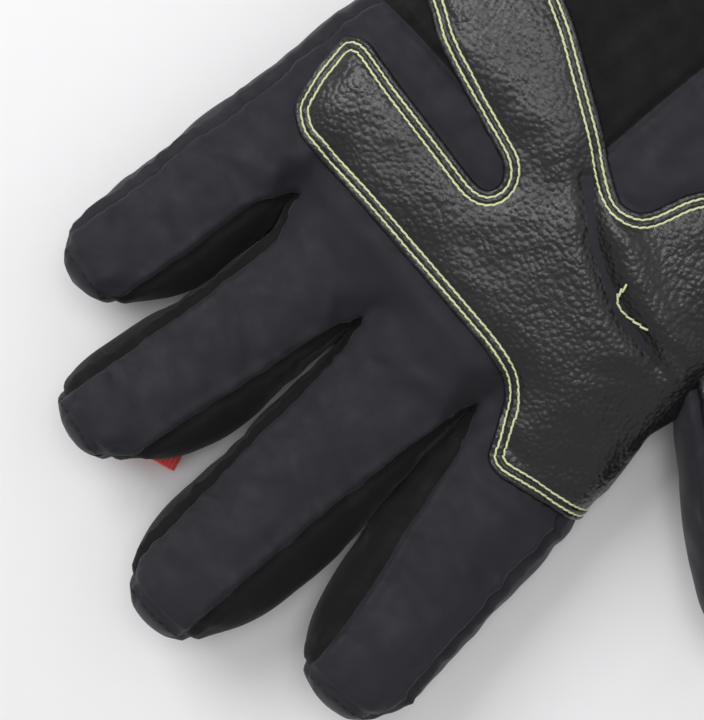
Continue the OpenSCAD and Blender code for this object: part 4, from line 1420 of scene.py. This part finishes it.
def box_run(place, u0, u1, v0, v1, height):
    """A sewn box with a cross in it."""
    corners = [(u0, v0), (u1, v0), (u1, v1), (u0, v1), (u0, v0), (u1, v1)]
    runs = []
    for path in (corners, [(u0, v1), (u1, v0)]):
        q = dense(path, 0.6, soft=0)
        p, n = place(q[:, 0], q[:, 1])
        runs.append((p + n * height, n))
    return runs


def strap_pieces():
    place = cuff_place(-124)
    run = place.run

    def vs(low, high):
        return spaced(low, high, 2.2, 0.45)

    def us(first, last):
        return spaced(run(first), run(last), 1.6, 0.45)

    def ripple(u, v=0):
        return 0.12 * np.sin(u / 7)

    piece = slab("wrist_strap_webbing", place, us(23.6, 146), vs(-135, -113), 1.85, 3.2, WEBBING,
                 waves=ripple)
    finish_piece(piece, "strap", ["wrist_strap"])
    piece = slab("strap_hooks", place, us(104, 144), vs(-133.5, -114.5), 1.1, 1.8, HOOK_TAPE, 0.25)
    finish_piece(piece, "strap", ["strap_hook_tape"])
    piece = slab("strap_loop_pile", place, us(84, 160), vs(-135, -113), 0.05, 0.85, HOOK_TAPE, 0.3)
    finish_piece(piece, "cuff", ["strap_loop_tape"])
    piece = slab("strap_sewn_end", place, us(8, 21.2), vs(-135.2, -112.8), 0.0, 3.1, WEBBING)
    finish_piece(piece, "cuff", ["strap_anchor"])
    runs = box_run(place, run(9) + 1, run(21) - 1, -132.8, -115.2, 3.15)
    thread = repeat_along("strap_end_stitches", runs, CREAM_THREAD, 1.9, 1.5, 0.22, 0.25)
    finish_piece(thread, "cuff")
    runs = []
    for v in (-133, -115):
        q = np.linspace(run(25), run(145), 160)
        p, n = place(q, np.full(160, v))
        runs.append((p + n * (3.22 + ripple(q))[:, None], n))
    thread = repeat_along("strap_edge_stitches", runs, BLACK_THREAD, 2.2, 1.7, 0.2, 0.25)
    finish_piece(thread, "strap")
    q = np.linspace(run(150), run(158), 60)
    p, n = place(q, np.full(60, -124.0))
    ribs = repeat_along("tab_grip_ribs", [(p + n * 3.75, n)], TAB_RUBBER, 1.7, 16, 0.45, 0.3,
                        crosswise=math.pi / 2)
    finish_piece(ribs, "strap")
    tab = frame["nodes"]["strap_pull_tab"]
    tab.data.materials.clear()
    tab.data.materials.append(TAB_RUBBER)


def pull_loop():
    """Webbing loop sewn to the cuff near its mouth, with a foot on either side."""
    slope = math.atan((46 - 39) / 65)
    along = np.array([0, math.cos(slope), -math.sin(slope)])
    up = np.array([0, math.sin(slope), math.cos(slope)])
    base = np.array([HOME[0] + 9, HOME[1] - 170, palm_top(9.0, -170.0)])
    angles = np.radians(np.linspace(160, 20, 29))
    flat = [(-22.5, 1.0), (-18, 1.0), (-14.6, 1.0)]
    flat += [(14.2 * math.cos(a), 14.2 * math.sin(a) - 4.2) for a in angles]
    flat += [(14.6, 1.0), (18, 1.0), (22.5, 1.0)]
    path = dense([tuple(base + along * t + up * h) for t, h in flat], 0.8, soft=3)
    place = path_place(path, (1, 0, 0))
    piece = slab("cuff_pull_webbing", place, spaced(0, place.length, 1.2, 0.4),
                 spaced(-7.5, 7.5, 1.5, 0.4), -0.75, 0.75, WEBBING)
    finish_piece(piece, "cuff", ["cuff_pull_loop"])
    p, n = place(np.linspace(1, place.length - 1, 120), np.zeros(120))
    sign = 1 if (n[60] @ up) > 0 else -1
    ribs = repeat_along("pull_webbing_ribs", [(p + sign * n * 0.72, sign * n)], WEBBING, 1.15, 14.2,
                        0.26, 0.05, crosswise=math.pi / 2)
    finish_piece(ribs, "cuff")
    runs = []
    for first in (1.2, place.length - 8.2):
        for path_run in box_run(place, first, first + 7, -5.8, 5.8, 0):
            q, m = path_run
            runs.append((q + sign * m * 1.05, sign * m))
    thread = repeat_along("pull_webbing_stitches", runs, CREAM_THREAD, 1.8, 1.4, 0.2, 0.25)
    finish_piece(thread, "cuff")


def inside_label():
    def place(u, v):
        z = palm_top(9.0 + 0 * u, v) - 5.4
        n = np.tile([0, 0, 1.0], (len(u), 1))
        return np.column_stack([HOME[0] + u, HOME[1] + v, z]), n
    piece = slab("care_label_satin", place, spaced(-6, 24, 2, 0.2), spaced(-182, -164, 2, 0.2),
                 -0.2, 0.2, LABEL_SATIN, 0.2)
    finish_piece(piece, "cuff", ["care_label"])


def gather_elastic():
    def place(u, v):
        n = np.tile([0, 0, 1.0], (len(u), 1))
        return np.column_stack([HOME[0] + u, HOME[1] + v, 1.7 + 0.25 * np.sin(u / 1.2)]), n
    piece = slab("wrist_gather_elastic", place, spaced(-24, 42, 1, 0.3), spaced(-128, -114, 2, 0.3),
                 -0.3, 0.3, ELASTIC, 0.3)
    finish_piece(piece, "cuff", ["wrist_elastic"])


def hang_loop():
    """Ribbon folded into a loop, sewn under the ring fingertip and standing out beside it."""
    turn = math.radians(27)
    inward = np.array([math.cos(turn), math.sin(turn)])
    fold = np.array([-16.5, 50.6])
    flat = [(t, 2.45 + 1.9 * ease((t - 7) / 11)) for t in np.linspace(18, 1.3, 15)]
    flat += [(1.15 + 1.15 * math.cos(a), 1.43 + 1.05 * math.sin(a))
             for a in np.radians(np.linspace(110, 250, 8))]
    flat += [(t, 0.42 + 2.4 * ease((t - 7) / 11)) for t in np.linspace(1.6, 18, 15)]
    path = dense([tuple(RING.world(*(fold + inward * t), z)) for t, z in flat], 0.5, soft=2)
    width_dir = -inward[1] * RING.side + inward[0] * RING.along
    place = path_place(path, (*width_dir, 0))
    piece = slab("red_hang_loop", place, spaced(0, place.length, 0.9, 0.25), spaced(-4.4, 4.4, 1, 0.25),
                 -0.3, 0.3, RED_RIBBON, 0.3)
    finish_piece(piece, "hang_loop", ["finger_hang_loop"])
    p, n = place(np.linspace(0.3, place.length - 0.3, 140), np.zeros(140))
    middle = path.mean(0)
    sign = np.sign(((p - middle) * n).sum())
    ribs = repeat_along("red_loop_ribs", [(p + sign * n * 0.38, sign * n)], RED_RIBBON, 0.86, 8.5, 0.3,
                        0.02, crosswise=math.pi / 2)
    finish_piece(ribs, "hang_loop")


skin, on_shell, final, normals, coarse = outer_shell()
under_layers(coarse)
thumb = thumb_shell()
leather_patch(on_shell)
patch_stitches(on_shell)
seam_stitches(skin, final, normals, thumb)
cuff_binding(skin, final)
strap_pieces()
pull_loop()
inside_label()
gather_elastic()
hang_loop()


# ---------------------------------------------------------------- floor, light and camera

# Where the camera looks, in mm from the middle finger's root, its height and its turn
CAMERA_AIM = (9.5, 10.2)
CAMERA_HEIGHT = 0.445
CAMERA_TURN = -131
# Name, place, size and power of each soft light
LAMPS = [("key_softbox", (0.62, 0.05, 0.72), 0.5, 4.6), ("fill_softbox", (-0.25, -0.55, 0.8), 0.9, 1.0),
         ("top_softbox", (0.06, -0.09, 1.0), 0.3, 2.3)]
ROOM_LIGHT = 0.52


def set_stage():
    scene = bpy.context.scene
    scene.view_settings.view_transform = "Standard"
    floor_mat = finish_of("pale_floor", (0.77, 0.77, 0.78), (0.80, 0.80, 0.81), 0.8, 0.0001, 0.01, 0,
                          specular=0.1, strength=0.05)
    floor = mesh_object("floor", [(-2500, -2500, -0.3), (2500, -2500, -0.3), (2500, 2500, -0.3),
                                  (-2500, 2500, -0.3)], [(0, 1, 2, 3)], floor_mat, smooth=False)
    for name, spot, size, power in LAMPS:
        lamp = bpy.data.lights.new(name, "AREA")
        lamp.energy, lamp.size = power, size
        obj = bpy.data.objects.new(name, lamp)
        obj.location = spot
        obj.rotation_euler = (Vector((0.02, 0.05, 0)) - obj.location).to_track_quat("-Z", "Y").to_euler()
        scene.collection.objects.link(obj)
    world = bpy.data.worlds.new("soft_room")
    world.use_nodes = True
    world.node_tree.nodes["Background"].inputs[0].default_value = (1, 1, 1, 1)
    world.node_tree.nodes["Background"].inputs[1].default_value = ROOM_LIGHT
    scene.world = world
    camera = bpy.data.objects.new("camera", bpy.data.cameras.new("camera"))
    scene.collection.objects.link(camera)
    camera.data.lens = 100
    aim = HOME + np.array(CAMERA_AIM)
    camera.location = (aim[0] * MM, aim[1] * MM, CAMERA_HEIGHT)
    camera.rotation_euler = (0, 0, math.radians(CAMERA_TURN))
    scene.camera = camera


set_stage()
